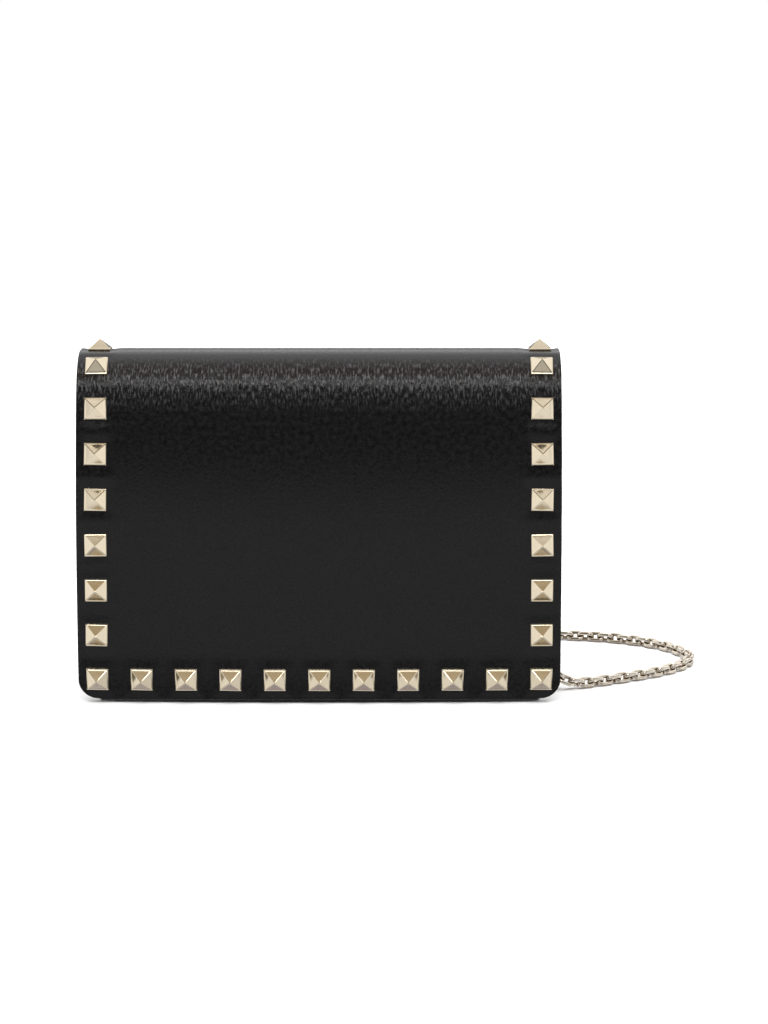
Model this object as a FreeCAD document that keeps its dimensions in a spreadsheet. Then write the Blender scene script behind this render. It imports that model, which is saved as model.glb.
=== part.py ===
import FreeCAD, Part
import Sketcher
import math
import os

# Chain wallet: a leather pouch whose studded flap folds over from the back and hangs down the front.
# Millimetres. X runs along the width, the front faces -Y and the base rests on Z = 0.

V = FreeCAD.Vector

SIZES = {
    # outer shape
    "flap_width": 200,
    "overall_height": 144,
    "body_depth": 48,
    "body_width": 189,
    "straight_height": 48.4,
    "crown_radius": 20,
    "crown_flat": 8,
    "fold_radius": 10,
    "fold_height": 128,
    "flap_hem": 1.7,
    "flap_clearance": 2.2,
    "corner_radius": 8,
    "panel_foot": 0.3,
    "front_top": 110,
    "waist_height": 95,
    "shoulder_height": 118,
    # layers
    "skin": 1.2,
    "board": 1.0,
    "lining": 0.6,
    "gusset_skin": 1.0,
    "gusset_lining": 0.5,
    "gusset_seam": 92,
    "gusset_inset": 80,
    "gusset_top": 108,
    "channel_front": -3,
    "channel_back": 11,
    # pyramid studs
    "stud_side": 9.2,
    "stud_rim": 0.5,
    "stud_height": 4.4,
    "stud_first": 8.4,
    "stud_span": 184,
    "prong_offset": 3,
    "prong_slot_wide": 1.35,
    "prong_slot_thick": 0.6,
    "prong_slot_deep": 3.5,
    # magnetic snap
    "snap_radius": 8,
    "snap_height": 30,
    "snap_post": 1.5,
    "snap_hole": 1.55,
    "snap_nub": 3.0,
    "snap_mouth": 3.6,
    # strap hardware, right side
    "strap_line": 4,
    "ring_out": 86.4,
    "ring_bar_height": 91.5,
    "ring_reach": 7.5,
    "ring_wire": 1.1,
    "tab_bore": 1.18,
    "tab_eye": 2.65,
    "tab_width": 11.6,
    "rivet_height": 102.8,
    "rivet_post": 1.2,
    "rivet_hole": 1.25,
    "rivet_head": 3,
    "hook_out": 87.1,
    "hook_height": 81.8,
    "hook_radius": 5.6,
    "hook_wire": 1.1,
    "gate_wire": 1.0,
    "gate_pin": 0.55,
    "gate_bore": 0.6,
    "cheek_radius": 1.9,
    "cheek_length": 4.1,
    "slot_length": 2.3,
    "eye_height": 73,
    "eye_radius": 2.2,
    "eye_wire": 0.9,
    "jump_height": 69.8,
    "jump_radius": 2.6,
    "jump_wire": 0.65,
    # inside zip pocket
    "lining_face": 19,
    "pocket_half": 75,
    "pocket_bottom": 25,
    "pocket_top": 105.4,
    "zip_height": 98,
    "zip_half": 66,
    "slit_half": 70,
    "slit_tall": 9,
    "tape_width": 6.7,
    "tape_thick": 0.4,
    "tooth_tall": 1.8,
    "tooth_wide": 1.2,
    "tooth_pitch": 2.2,
    "teeth_gap": 0.8,
    # card slots
    "card_width": 94,
    "card_floor": 6,
    "card_top": 56,
    "card_step": 9,
    "card_thick": 0.8,
    # chain
    "chain_diameter": 5,
    "coil_inner": 27,
    "coil_outer": 32,
    "coil_x": 30,
    "coil_y": 64,
    "coil_foot": 0.5,
    "coil_turns": 3.25,
    "tie_thick": 0.5,
    "tie_width": 6,
}

RIGHT_ROUTE = [
    (87.1, 4.0, 66.5), (87.3, 4.2, 48.0), (88.2, 4.0, 31.0), (91.2, 3.0, 17.5), (97.2, 1.4, 8.2),
    (106.0, 1.4, 2.8), (117.5, 7.0, 2.5), (131.6, 16.2, 2.5), (146.3, 27.0, 2.5), (157.2, 39.6, 2.5),
    (162.8, 54.6, 2.5), (159.2, 70.0, 2.5), (152.0, 82.6, 2.5), (139.4, 93.6, 2.5), (122.2, 101.4, 2.5),
    (103.0, 104.8, 2.5), (83.0, 104.8, 2.5), (62.0, 101.8, 2.6), (42.0, 96.0, 3.0),
]

LEFT_ROUTE = [
    (-2.0, 57.0, 7.7), (-3.2, 45.5, 5.4), (-13.0, 35.5, 2.8), (-32.0, 33.0, 2.5), (-54.0, 35.5, 2.5),
    (-75.0, 36.5, 2.5), (-93.0, 34.0, 2.5), (-101.5, 22.5, 2.5), (-100.0, 8.5, 4.8), (-94.0, 0.0, 16.5),
    (-89.0, 2.5, 33.0), (-87.2, 4.0, 50.0), (-87.1, 4.1, 66.5),
]

doc = FreeCAD.newDocument("chain_wallet")
nodes = []


# ---------------------------------------------------------------- sheet and small helpers

def make_sheet():
    sheet = doc.addObject("Spreadsheet::Sheet", "dims")
    for row, (alias, number) in enumerate(SIZES.items(), 1):
        sheet.set(f"A{row}", alias)
        sheet.set(f"B{row}", str(number))
        sheet.setAlias(f"B{row}", alias)
    doc.recompute()
    return sheet


sheet = make_sheet()


def size(alias):
    return float(sheet.get(alias))


def keep(feature, label):
    """Name a finished sub-part and list it for export."""
    feature.Label = label
    nodes.append(feature)
    return feature


def bind(feature, **expressions):
    for name, expression in expressions.items():
        feature.setExpression(name, expression)
    return feature


def box(name, dims, corner):
    """A box whose three sizes and lower corner are expressions on the sheet."""
    feature = doc.addObject("Part::Box", name)
    for side, expression in zip(("Length", "Width", "Height"), dims):
        feature.setExpression(side, expression)
    for axis, expression in zip("xyz", corner):
        feature.setExpression(f"Placement.Base.{axis}", expression)
    return feature


ALONG = {
    "x": FreeCAD.Rotation(V(0, 1, 0), 90),
    "y": FreeCAD.Rotation(V(1, 0, 0), -90),
    "z": FreeCAD.Rotation(),
}


def rod(name, axis, radius, length, start):
    """A cylinder along an axis; radius, length and start point are expressions."""
    feature = doc.addObject("Part::Cylinder", name)
    feature.Placement = FreeCAD.Placement(V(0, 0, 0), ALONG[axis])
    bind(feature, Radius=radius, Height=length)
    for side, expression in zip("xyz", start):
        feature.setExpression(f"Placement.Base.{side}", expression)
    return feature


def ring(name, radius, wire, centre, turn, sweep=360):
    """A round wire bent into a ring or an arc of one."""
    feature = doc.addObject("Part::Torus", name)
    feature.Angle3 = sweep
    feature.Placement = FreeCAD.Placement(V(0, 0, 0), turn)
    bind(feature, Radius1=radius, Radius2=wire)
    for side, expression in zip("xyz", centre):
        feature.setExpression(f"Placement.Base.{side}", expression)
    return feature


def fuse(name, *parts):
    feature = doc.addObject("Part::MultiFuse", name)
    feature.Shapes = list(parts)
    feature.Refine = True
    return feature


def cut(name, base, tool):
    feature = doc.addObject("Part::Cut", name)
    feature.Base = base
    feature.Tool = tool
    return feature


def common(name, base, tool):
    feature = doc.addObject("Part::Common", name)
    feature.Base = base
    feature.Tool = tool
    return feature


def shaped(name, shape):
    feature = doc.addObject("Part::Feature", name)
    feature.Shape = shape
    return feature


def mirrored(label, source):
    """The left-hand twin of a right-hand sub-part."""
    feature = doc.addObject("Part::Mirroring", label)
    feature.Source = source
    feature.Base = V(0, 0, 0)
    feature.Normal = V(1, 0, 0)
    return keep(feature, label)


# ---------------------------------------------------------------- sketches and pads

def add_sketch(body, role, offset="0"):
    """A sketch on one of the body's own planes, moved along that plane's normal."""
    sketch = body.newObject("Sketcher::SketchObject", body.Name + "_sketch")
    plane = next(item for item in body.Origin.OriginFeatures if item.Role == role)
    sketch.AttachmentSupport = (plane, [""])
    sketch.MapMode = "FlatFace"
    sketch.setExpression("AttachmentOffset.Base.z", offset)
    return sketch


def line(start, end):
    return ("line", start, end)


def arc(centre, radius, first, last):
    return ("arc", centre, radius, first, last)


def flipped(edge):
    if edge[0] == "line":
        return line(edge[2], edge[1])
    return arc(edge[1], edge[2], edge[4], edge[3])


def tip(edge, last):
    """The first or last point of an edge."""
    if edge[0] == "line":
        return edge[2] if last else edge[1]
    centre, radius, angle = edge[1], edge[2], edge[4] if last else edge[3]
    return (centre[0] + radius * math.cos(angle), centre[1] + radius * math.sin(angle))


def trace(sketch, edges):
    """Draw a closed loop of lines and arcs and join each end to the next."""
    ends = []
    for edge in edges:
        if edge[0] == "line":
            index = sketch.addGeometry(Part.LineSegment(V(*edge[1], 0), V(*edge[2], 0)), False)
            ends.append((index, 1, 2))
            continue
        circle = Part.Circle(V(*edge[1], 0), V(0, 0, 1), edge[2])
        clockwise = edge[4] < edge[3]
        low, high = sorted((edge[3], edge[4]))
        index = sketch.addGeometry(Part.ArcOfCircle(circle, low, high), False)
        ends.append((index, 2, 1) if clockwise else (index, 1, 2))
    for here, after in zip(ends, ends[1:] + ends[:1]):
        sketch.addConstraint(Sketcher.Constraint("Coincident", here[0], here[2], after[0], after[1]))


def loop(points):
    return [line(a, b) for a, b in zip(points, points[1:] + points[:1])]


def padded(body, sketch, length, both_ways=False):
    pad = body.newObject("PartDesign::Pad", body.Name + "_pad")
    pad.Profile = sketch
    pad.setExpression("Length", length)
    if both_ways:
        pad.Midplane = True
    sketch.Visibility = False
    doc.recompute()
    return pad


def rounded(body, feature, radius, chosen):
    """Fillet the edges that cross the sheet from front to back at chosen places."""
    names = []
    for number, edge in enumerate(feature.Shape.Edges, 1):
        points = [vertex.Point for vertex in edge.Vertexes]
        crossing = len(points) == 2 and abs(points[0].x - points[1].x) < 0.01
        if crossing and all(chosen(point) for point in points):
            names.append(f"Edge{number}")
    fillet = body.newObject("PartDesign::Fillet", body.Name + "_round")
    fillet.Base = (feature, names)
    fillet.setExpression("Radius", radius)
    doc.recompute()
    return fillet


# ---------------------------------------------------------------- the side line of the flap

def side_line():
    """Centres and radii of the arcs that the outer skin follows from the front foot to the back."""
    front = -size("body_depth") / 2
    small = size("crown_radius")
    crown = -front - size("fold_radius") - size("crown_flat")
    reach = crown - front
    rise = size("overall_height") - size("straight_height")
    large = (reach ** 2 + rise ** 2 - 2 * rise * small) / (2 * (reach - small))
    lean = math.atan2(rise - small, large - reach)
    return front, crown, large, small, lean


def front_edges(depth, foot):
    """Foot to the end of the long front arc, for a line that lies `depth` under the outer skin."""
    front, crown, large, small, lean = side_line()
    face, straight = front + depth, size("straight_height")
    return [
        line((face, foot), (face, straight)),
        arc((front + large, straight), large - depth, math.pi, math.pi - lean),
    ]


def crown_edges(depth, end):
    """The end of the front arc, over the crown and down the back to a height."""
    front, crown, large, small, lean = side_line()
    top, fold = size("overall_height"), size("fold_radius")
    brow = crown + size("crown_flat")
    return [
        arc((crown, top - small), small - depth, math.pi - lean, math.pi / 2),
        line((crown, top - depth), (brow, top - depth)),
        arc((brow, top - fold), fold - depth, math.pi / 2, 0),
        line((-front - depth, top - fold), (-front - depth, end)),
    ]


def strip(outer, inner):
    """The closed outline of a sheet between two parallel lines."""
    back = [flipped(edge) for edge in reversed(inner)]
    end = line(tip(outer[-1], True), tip(back[0], False))
    foot = line(tip(back[-1], True), tip(outer[0], False))
    return outer + [end] + back + [foot]


def flap_sheet(label, depth, thick, width, foot):
    """One layer of the flap, with its two lower corners rounded."""
    body = doc.addObject("PartDesign::Body", label)
    sketch = add_sketch(body, "YZ_Plane")
    end = size("fold_height") + 0.1
    deep = depth + thick
    outer = front_edges(depth, foot) + crown_edges(depth, end)
    inner = front_edges(deep, foot) + crown_edges(deep, end)
    trace(sketch, strip(outer, inner))
    pad = padded(body, sketch, width, both_ways=True)
    front = -size("body_depth") / 2
    half = float(pad.Length) / 2 - 0.01
    rounded(body, pad, "dims.corner_radius",
            lambda point: abs(point.x) > half and point.z < foot + 0.01 and point.y < front + 10)
    return body


def front_sheet(label, depth, thick, width, foot, top):
    """One layer of the front panel, which follows the flap up to a height."""
    body = doc.addObject("PartDesign::Body", label)
    sketch = add_sketch(body, "YZ_Plane")
    lines = []
    for under in (depth, depth + thick):
        straight, bend = front_edges(under, foot)
        angle = math.asin((top - size("straight_height")) / bend[2])
        lines.append([straight, arc(bend[1], bend[2], math.pi, math.pi - angle)])
    trace(sketch, strip(*lines))
    pad = padded(body, sketch, width, both_ways=True)
    half = float(pad.Length) / 2 - 0.01
    rounded(body, pad, "dims.corner_radius",
            lambda point: abs(point.x) > half and point.z < foot + 0.01)
    return body


def on_skin(along):
    """Position and outward lean of the outer skin, measured up from the flap's front edge."""
    front, crown, large, small, lean = side_line()
    straight, top, hem = size("straight_height"), size("overall_height"), size("flap_hem")
    if along < straight - hem:
        return front, hem + along, 0.0
    along -= straight - hem
    if along < large * lean:
        angle = along / large
        return front + large * (1 - math.cos(angle)), straight + large * math.sin(angle), angle
    along -= large * lean
    if along < small * (math.pi / 2 - lean):
        angle = lean + along / small
        return crown - small * math.cos(angle), top - small + small * math.sin(angle), angle
    return crown + along - small * (math.pi / 2 - lean), top, math.pi / 2


def crown_distance():
    """Distance along the skin from the front edge to the middle of the crown."""
    front, crown, large, small, lean = side_line()
    bend = large * lean + small * (math.pi / 2 - lean)
    return size("straight_height") - size("flap_hem") + bend + size("crown_flat") / 2


# ---------------------------------------------------------------- studs

def stud_master():
    rim = box("stud_rim", ("dims.stud_side", "dims.stud_side", "dims.stud_rim"),
              ("-dims.stud_side / 2", "-dims.stud_side / 2", "0"))
    cap = doc.addObject("Part::Wedge", "stud_cap")
    half, flat = size("stud_side") / 2 - 0.3, 0.12
    cap.Xmin, cap.Xmax, cap.Zmin, cap.Zmax = -half, half, -half, half
    cap.X2min, cap.X2max, cap.Z2min, cap.Z2max = -flat, flat, -flat, flat
    cap.Ymin = 0
    cap.setExpression("Ymax", "dims.stud_height - dims.stud_rim")
    cap.Placement.Rotation = FreeCAD.Rotation(V(1, 0, 0), 90)
    cap.setExpression("Placement.Base.z", "dims.stud_rim")
    prong = ("dims.stud_side / 8", "dims.skin / 3", "dims.skin + dims.board - 0.2")
    sides = [box(f"stud_prong_{number}", prong, (f"{place} - dims.stud_side / 16", "-0.2", "-2"))
             for number, place in enumerate(("-dims.prong_offset", "dims.prong_offset"))]
    return fuse("stud", rim, cap, *sides)


def stud_places():
    """Row, column and crown places of the studs, each as (group, placement)."""
    first, last, half = size("stud_first"), crown_distance(), size("stud_span") / 2
    steps = 8
    places = []
    for number in range(11):
        places.append(("studs_bottom_row", number * half / 5 - half, first))
    for step in range(1, steps):
        along = first + step * (last - first) / steps
        places.append(("studs_left_column", -half, along))
        places.append(("studs_right_column", half, along))
    places.append(("studs_crown", -half, last))
    places.append(("studs_crown", half, last))
    result = []
    for group, across, along in places:
        y, z, lean = on_skin(along)
        turn = FreeCAD.Rotation(V(1, 0, 0), 90 - math.degrees(lean))
        result.append((group, FreeCAD.Placement(V(across, y, z), turn)))
    return result


def make_studs():
    master = stud_master()
    doc.recompute()
    groups = {}
    for group, place in stud_places():
        stud = master.Shape.copy()
        stud.Placement = place.multiply(stud.Placement)
        groups.setdefault(group, []).append(stud)
    for group, shapes in groups.items():
        keep(shaped(group, Part.makeCompound(shapes)), group)


def prong_slots():
    """The slots that all prongs pass through, a little larger than the prongs."""
    slots = []
    wide, thick, deep = size("prong_slot_wide"), size("prong_slot_thick"), size("prong_slot_deep")
    for group, place in stud_places():
        for side in (-size("prong_offset"), size("prong_offset")):
            slot = Part.makeBox(wide, thick, deep + 0.5, V(side - wide / 2, -thick / 2, -deep))
            slot.Placement = place.multiply(slot.Placement)
            slots.append(slot)
    return shaped("prong_slots", Part.makeCompound(slots))


# ---------------------------------------------------------------- flap

def snap_bore(name, radius, start, length):
    """A hole across the leather on the snap's axis."""
    return rod(name, "y", radius, length, ("0", start, "dims.snap_height"))


def make_flap():
    slots = prong_slots()
    hem = size("flap_hem")
    skin = flap_sheet("flap_skin_blank", 0, size("skin"), "dims.flap_width", hem)
    keep(cut("flap_skin", skin, slots), "flap_skin")
    board = flap_sheet("flap_board_blank", size("skin"), size("board"), "dims.flap_width - 3", hem + 1.2)
    pocket = snap_bore("flap_washer_pocket", "dims.snap_radius + 0.1", "-dims.body_depth / 2", "4")
    holes = fuse("flap_board_holes", slots, pocket)
    keep(cut("flap_board", board, holes), "flap_board")
    depth = size("skin") + size("board")
    lining = flap_sheet("flap_lining_blank", depth, size("lining"), "dims.flap_width - 1", hem + 0.3)
    hole = snap_bore("flap_lining_hole", "dims.snap_hole", "-dims.body_depth / 2", "6")
    keep(cut("flap_lining", lining, hole), "flap_lining")


def make_snap():
    """Magnetic snap: a cap with a mouth on the flap and a base with a nub on the front panel."""
    inner = "-dims.body_depth / 2 + dims.skin + dims.board + dims.lining"
    outer = "-dims.body_depth / 2 + dims.skin + dims.board + dims.lining + dims.flap_clearance"
    cap = fuse("snap_cap_blank",
               snap_bore("snap_cap_disc", "dims.snap_radius", inner, "1.2"),
               snap_bore("snap_cap_post", "dims.snap_post", inner + " - dims.board - dims.lining",
                         "dims.board + dims.lining + 0.1"))
    mouth = snap_bore("snap_cap_mouth", "dims.snap_mouth", inner + " + 0.2", "1.5")
    keep(cut("snap_cap", cap, mouth), "snap_cap")
    behind = inner + " - dims.board - dims.lining"
    washer = snap_bore("snap_cap_plate", "dims.snap_radius", behind, "dims.board")
    bore = snap_bore("snap_cap_plate_bore", "dims.snap_hole", inner + " - 3", "6")
    keep(cut("snap_cap_washer", washer, bore), "snap_cap_washer")
    base = fuse("snap_base",
                snap_bore("snap_base_disc", "dims.snap_radius", outer + " - 0.8", "0.8"),
                snap_bore("snap_base_nub", "dims.snap_nub", outer + " - 1.7", "1.0"),
                snap_bore("snap_base_post", "dims.snap_post", outer + " - 0.1",
                          "dims.skin + dims.board + 0.1"))
    keep(base, "snap_base")
    plate = snap_bore("snap_base_plate", "dims.snap_radius", outer + " + dims.skin", "dims.board")
    plate_bore = snap_bore("snap_base_plate_bore", "dims.snap_hole", outer, "6")
    keep(cut("snap_base_washer", plate, plate_bore), "snap_base_washer")


# ---------------------------------------------------------------- front, back and base

def front_depth():
    """Depth of the front panel's outer face under the flap's outer skin."""
    return size("skin") + size("board") + size("lining") + size("flap_clearance")


def make_front():
    depth, foot, top = front_depth(), size("panel_foot"), size("front_top")
    floor = size("skin") + size("board")
    panel = front_sheet("front_panel_blank", depth, size("skin"), "dims.body_width", foot, top)
    hole = snap_bore("front_panel_hole", "dims.snap_hole", "-dims.body_depth / 2", "12")
    keep(cut("front_panel", panel, hole), "front_panel")
    depth += size("skin")
    board = front_sheet("front_board_blank", depth, size("board"), "2 * dims.gusset_seam - 5.2", size("skin"),
                        top - 1.5)
    pocket = snap_bore("front_washer_pocket", "dims.snap_radius + 0.1", "-dims.body_depth / 2", "12")
    keep(cut("front_board", board, pocket), "front_board")
    depth += size("board")
    wide = "2 * dims.gusset_seam - 8"
    keep(front_sheet("front_lining", depth, size("lining"), wide, floor, top), "front_lining")


def flat_sheet(label, outline, face, thick):
    """A flat upright sheet whose back face lies at `face`, an expression."""
    body = doc.addObject("PartDesign::Body", label)
    sketch = add_sketch(body, "XZ_Plane", f"-({face})")
    trace(sketch, loop(outline))
    return body, padded(body, sketch, thick)


def make_back():
    half, wide, foot = size("body_width") / 2, size("flap_width") / 2, size("panel_foot")
    waist, shoulder, fold = size("waist_height"), size("shoulder_height"), size("fold_height")
    right = [(half, foot), (half, waist), (wide, shoulder), (wide, fold)]
    outline = right + [(-x, z) for x, z in reversed(right)]
    body, pad = flat_sheet("back_panel", outline, "dims.body_depth / 2", "dims.skin")
    lower = rounded(body, pad, "dims.corner_radius", lambda point: point.z < foot + 0.01)
    rounded(body, lower, "2.5 * dims.corner_radius",
            lambda point: abs(point.z - waist) < 0.01 or abs(point.z - shoulder) < 0.01)
    keep(body, "back_panel")
    half = size("gusset_seam") - 2.4
    outline = [(half, size("skin")), (half, fold - 2), (-half, fold - 2), (-half, size("skin"))]
    body, pad = flat_sheet("back_board", outline, "dims.body_depth / 2 - dims.skin", "dims.board")
    keep(body, "back_board")
    half = size("gusset_seam") - 5.7
    floor = size("skin") + size("board")
    outline = [(half, floor), (half, fold - 2), (-half, fold - 2), (-half, floor)]
    body, pad = flat_sheet("back_lining_blank", outline, "dims.lining_face + dims.lining", "dims.lining")
    slit = box("back_lining_slit", ("2 * dims.slit_half", "4", "dims.slit_tall"),
               ("-dims.slit_half", "dims.lining_face - 2", "dims.zip_height - dims.slit_tall / 2"))
    keep(cut("back_lining", body, slit), "back_lining")


def front_face(depth, height):
    """Y of a front layer's line at a height."""
    front, crown, large, small, lean = side_line()
    above = max(0.0, height - size("straight_height"))
    return front + large - math.sqrt((large - depth) ** 2 - above ** 2)


def channel_outline(height, under, edge_front, edge_back):
    """Right half of the gusset's plan line at a height, moved `under` towards the inside."""
    seam, inset = size("gusset_seam") - under, size("gusset_inset") - under
    low, high = size("channel_front"), size("channel_back")
    face = front_face(front_depth() + size("skin"), height)
    back = size("body_depth") / 2 - size("skin")
    first = seam - (seam - inset) * (edge_front - face) / (low - face)
    last = seam - (seam - inset) * (back - edge_back) / (back - high)
    return [(first, edge_front), (inset, low), (inset, high), (last, edge_back)]


def gusset_loft(label, under, thick, foot, inwards):
    """A pleated side wall: the same folded strip at five heights, joined by straight walls."""
    body = doc.addObject("PartDesign::Body", label)
    straight, top = size("straight_height"), size("gusset_top")
    heights = [foot, straight] + [straight + (top - straight) * step / 3 for step in (1, 2, 3)]
    sketches = []
    for height in heights:
        sketch = add_sketch(body, "XY_Plane", str(height))
        face = front_face(front_depth() + size("skin") + inwards, height)
        back = size("body_depth") / 2 - size("skin") - inwards
        outer = channel_outline(height, under, face, back)
        inner = channel_outline(height, under + thick, face, back)
        trace(sketch, loop(outer + inner[::-1]))
        sketch.Visibility = False
        sketches.append(sketch)
    loft = body.newObject("PartDesign::AdditiveLoft", label + "_loft")
    loft.Profile = (sketches[0], [""])
    loft.Sections = [(sketch, [""]) for sketch in sketches[1:]]
    loft.Ruled = True
    doc.recompute()
    return body


def make_gussets():
    blank = gusset_loft("gusset_blank", 0, size("gusset_skin"), size("panel_foot"), 0.05)
    inner = gusset_loft("gusset_lining_blank", size("gusset_skin"), size("gusset_lining"),
                        size("skin") + size("board") + size("lining"), size("board") + 0.05)
    for source, name in ((blank, "gusset"), (inner, "gusset_lining")):
        hole = rod(name + "_hole", "x", "dims.rivet_hole", "8",
                   ("dims.gusset_inset - 4", "dims.strap_line", "dims.rivet_height"))
        right = keep(cut("right_" + name, source, hole), "right_" + name)
        mirrored("left_" + name, right)


def base_sheet(label, low, thick, face, back, under):
    """A level sheet that fills the plan between the gussets, from a front edge to a back edge."""
    body = doc.addObject("PartDesign::Body", label)
    sketch = add_sketch(body, "XY_Plane", low)
    right = channel_outline(0, under, face, back)
    trace(sketch, loop(right + [(-x, y) for x, y in reversed(right)]))
    padded(body, sketch, thick)
    return keep(body, label)


def make_base():
    leather = size("gusset_skin")
    face = front_face(front_depth() + size("skin"), 0)
    back = size("body_depth") / 2 - size("skin")
    base_sheet("base_panel", "0", "dims.skin", face, back, leather)
    face += size("board")
    base_sheet("base_board", "dims.skin", "dims.board", face, back - size("board"), leather + 0.05)
    face += size("lining")
    under = "dims.skin + dims.board"
    base_sheet("base_lining", under, "dims.lining", face, size("lining_face"), leather + 0.05)


# ---------------------------------------------------------------- pockets and zip

def make_card_slots():
    names = ("card_slot_back", "card_slot_middle", "card_slot_front")
    face = front_face(front_depth() + size("skin") + size("board") + size("lining"), size("card_top")) + 0.02
    for number, name in enumerate(names):
        slot = box(name, ("dims.card_width", "dims.card_thick",
                          f"dims.card_top - dims.card_floor - {number} * dims.card_step"),
                   ("-dims.card_width / 2", f"{face} + {number} * dims.card_thick", "dims.card_floor"))
        keep(slot, name)


def make_zip_pocket():
    tall = "dims.pocket_top - dims.pocket_bottom"
    deep = "dims.body_depth / 2 - dims.skin - dims.board - dims.lining_face - dims.lining"
    bag = box("pocket_block", ("2 * dims.pocket_half", deep, tall),
              ("-dims.pocket_half", "dims.lining_face + dims.lining", "dims.pocket_bottom"))
    hollow = box("pocket_hollow",
                 ("2 * dims.pocket_half - 0.8", deep + " - 2 * dims.tape_thick", tall + " - 0.8"),
                 ("0.4 - dims.pocket_half", "dims.lining_face + dims.lining + dims.tape_thick",
                  "dims.pocket_bottom + 0.4"))
    window = box("pocket_window", ("2 * dims.pocket_half - 4", "1", "2 * dims.tape_width + dims.teeth_gap"),
                 ("2 - dims.pocket_half", "dims.lining_face + dims.lining - 0.5",
                  "dims.zip_height - dims.tape_width - dims.teeth_gap / 2"))
    keep(cut("pocket_bag", bag, fuse("pocket_space", hollow, window)), "pocket_bag")
    tape = ("2 * dims.pocket_half - 4.1", "dims.tape_thick", "dims.tape_width - 0.1")
    left, face = "2.05 - dims.pocket_half", "dims.lining_face + dims.lining"
    above = "dims.zip_height + dims.teeth_gap / 2 + 0.1"
    keep(box("zip_tape_upper", tape, (left, face, above)), "zip_tape_upper")
    keep(box("zip_tape_lower", tape, (left, face, "dims.zip_height - dims.teeth_gap / 2 - dims.tape_width")),
         "zip_tape_lower")


def make_zip_teeth():
    """Two facing rows; each tooth grips its tape's edge through a notch."""
    pitch, wide, tall = size("tooth_pitch"), size("tooth_wide"), size("tooth_tall")
    face, gap, middle = size("lining_face"), size("teeth_gap") / 2, size("zip_height")
    half = size("zip_half")
    count = int(2 * half / pitch)
    for name, up, shift in (("zip_teeth_upper", 1, 0.0), ("zip_teeth_lower", -1, pitch / 2)):
        teeth = []
        low = middle + gap if up > 0 else middle - gap - tall
        for number in range(count):
            left = -half + number * pitch + shift
            tooth = Part.makeBox(wide, 1.6, tall, V(left, face, low))
            notch_low = low + 0.1 if up > 0 else low - 1
            notch = Part.makeBox(wide + 2, size("tape_thick"), tall + 0.9,
                                 V(left - 1, face + size("lining"), notch_low))
            teeth.append(tooth.cut(notch))
        keep(shaped(name, Part.makeCompound(teeth)), name)
    stops = []
    for end in (-1, 1):
        left = end * (half + 2.4) - 0.7
        stops.append(Part.makeBox(1.4, 0.6, 6, V(left, face, middle - 3)))
    keep(shaped("zip_stops", Part.makeCompound(stops)), "zip_stops")


def make_zip_slider():
    """Slider at the closed end: two plates joined by a thin web that runs between the rows."""
    place = "dims.zip_half - 6"
    front = box("slider_front", ("8", "0.6", "7"), (place, "dims.lining_face - 0.8", "dims.zip_height - 3.5"))
    rear = box("slider_rear", ("8", "0.5", "6"), (place, "dims.lining_face + 1.75", "dims.zip_height - 3"))
    web = box("slider_web", ("3", "2.2", "dims.teeth_gap - 0.3"),
              (place + " + 2.5", "dims.lining_face - 0.3", "dims.zip_height - dims.teeth_gap / 2 + 0.15"))
    posts = [box(f"slider_post_{number}", ("1.2", "2.0", "1"),
                 (place + " + 5.5", "dims.lining_face - 2.6", f"dims.zip_height + {low}"))
             for number, low in enumerate((1.6, -2.6))]
    pin = rod("slider_pin", "z", "0.5", "5",
              (place + " + 6.1", "dims.lining_face - 2.0", "dims.zip_height - 2.5"))
    keep(fuse("zip_slider", front, rear, web, pin, *posts), "zip_slider")
    eye = rod("pull_eye", "z", "1.1", "2.6",
              (place + " + 6.1", "dims.lining_face - 2.0", "dims.zip_height - 1.3"))
    blade = box("pull_blade", ("20", "0.9", "2.6"),
                (place + " - 13.9", "dims.lining_face - 2.45", "dims.zip_height - 1.3"))
    paddle = box("pull_paddle", ("12", "0.9", "5"),
                 (place + " - 16", "dims.lining_face - 2.45", "dims.zip_height - 2.5"))
    bore = rod("pull_bore", "z", "0.58", "6",
               (place + " + 6.1", "dims.lining_face - 2.0", "dims.zip_height - 3"))
    keep(cut("zip_pull", fuse("pull_blank", eye, blade, paddle), bore), "zip_pull")


# ---------------------------------------------------------------- strap hardware

UPRIGHT = FreeCAD.Rotation(V(1, 0, 0), V(0, 0, 1), V(0, -1, 0), "XYZ")
HANGING = FreeCAD.Rotation(V(0, 1, 0), V(0, 0, -1), V(-1, 0, 0), "XYZ")


def upright_from(angle):
    """A ring in the XZ plane whose arc starts at an angle from +X towards +Z."""
    return UPRIGHT.multiply(FreeCAD.Rotation(V(0, 0, 1), angle))


def make_tab():
    inset, thick = size("gusset_inset"), 2 * size("skin")
    out, bar = size("ring_out"), size("ring_bar_height")
    outline = [(inset, 106), (inset + thick, 106), (inset + thick, 99.5), (out + 2.2, bar + 0.97),
               (out - 2.2, bar - 0.97), (inset, 98)]
    body, pad = flat_sheet("tab_strap", outline, "dims.strap_line + dims.tab_width / 2", "dims.tab_width")
    across = ("dims.ring_out", "dims.strap_line - dims.tab_width / 2", "dims.ring_bar_height")
    eye = rod("tab_eye", "y", "dims.tab_eye", "dims.tab_width", across)
    bore = rod("tab_bore", "y", "dims.tab_bore", "dims.tab_width", across)
    hole = rod("tab_rivet_hole", "x", "dims.rivet_hole", "8",
               ("dims.gusset_inset - 2", "dims.strap_line", "dims.rivet_height"))
    right = keep(cut("right_tab", fuse("tab_blank", body, eye), fuse("tab_holes", bore, hole)), "right_tab")
    mirrored("left_tab", right)


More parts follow.
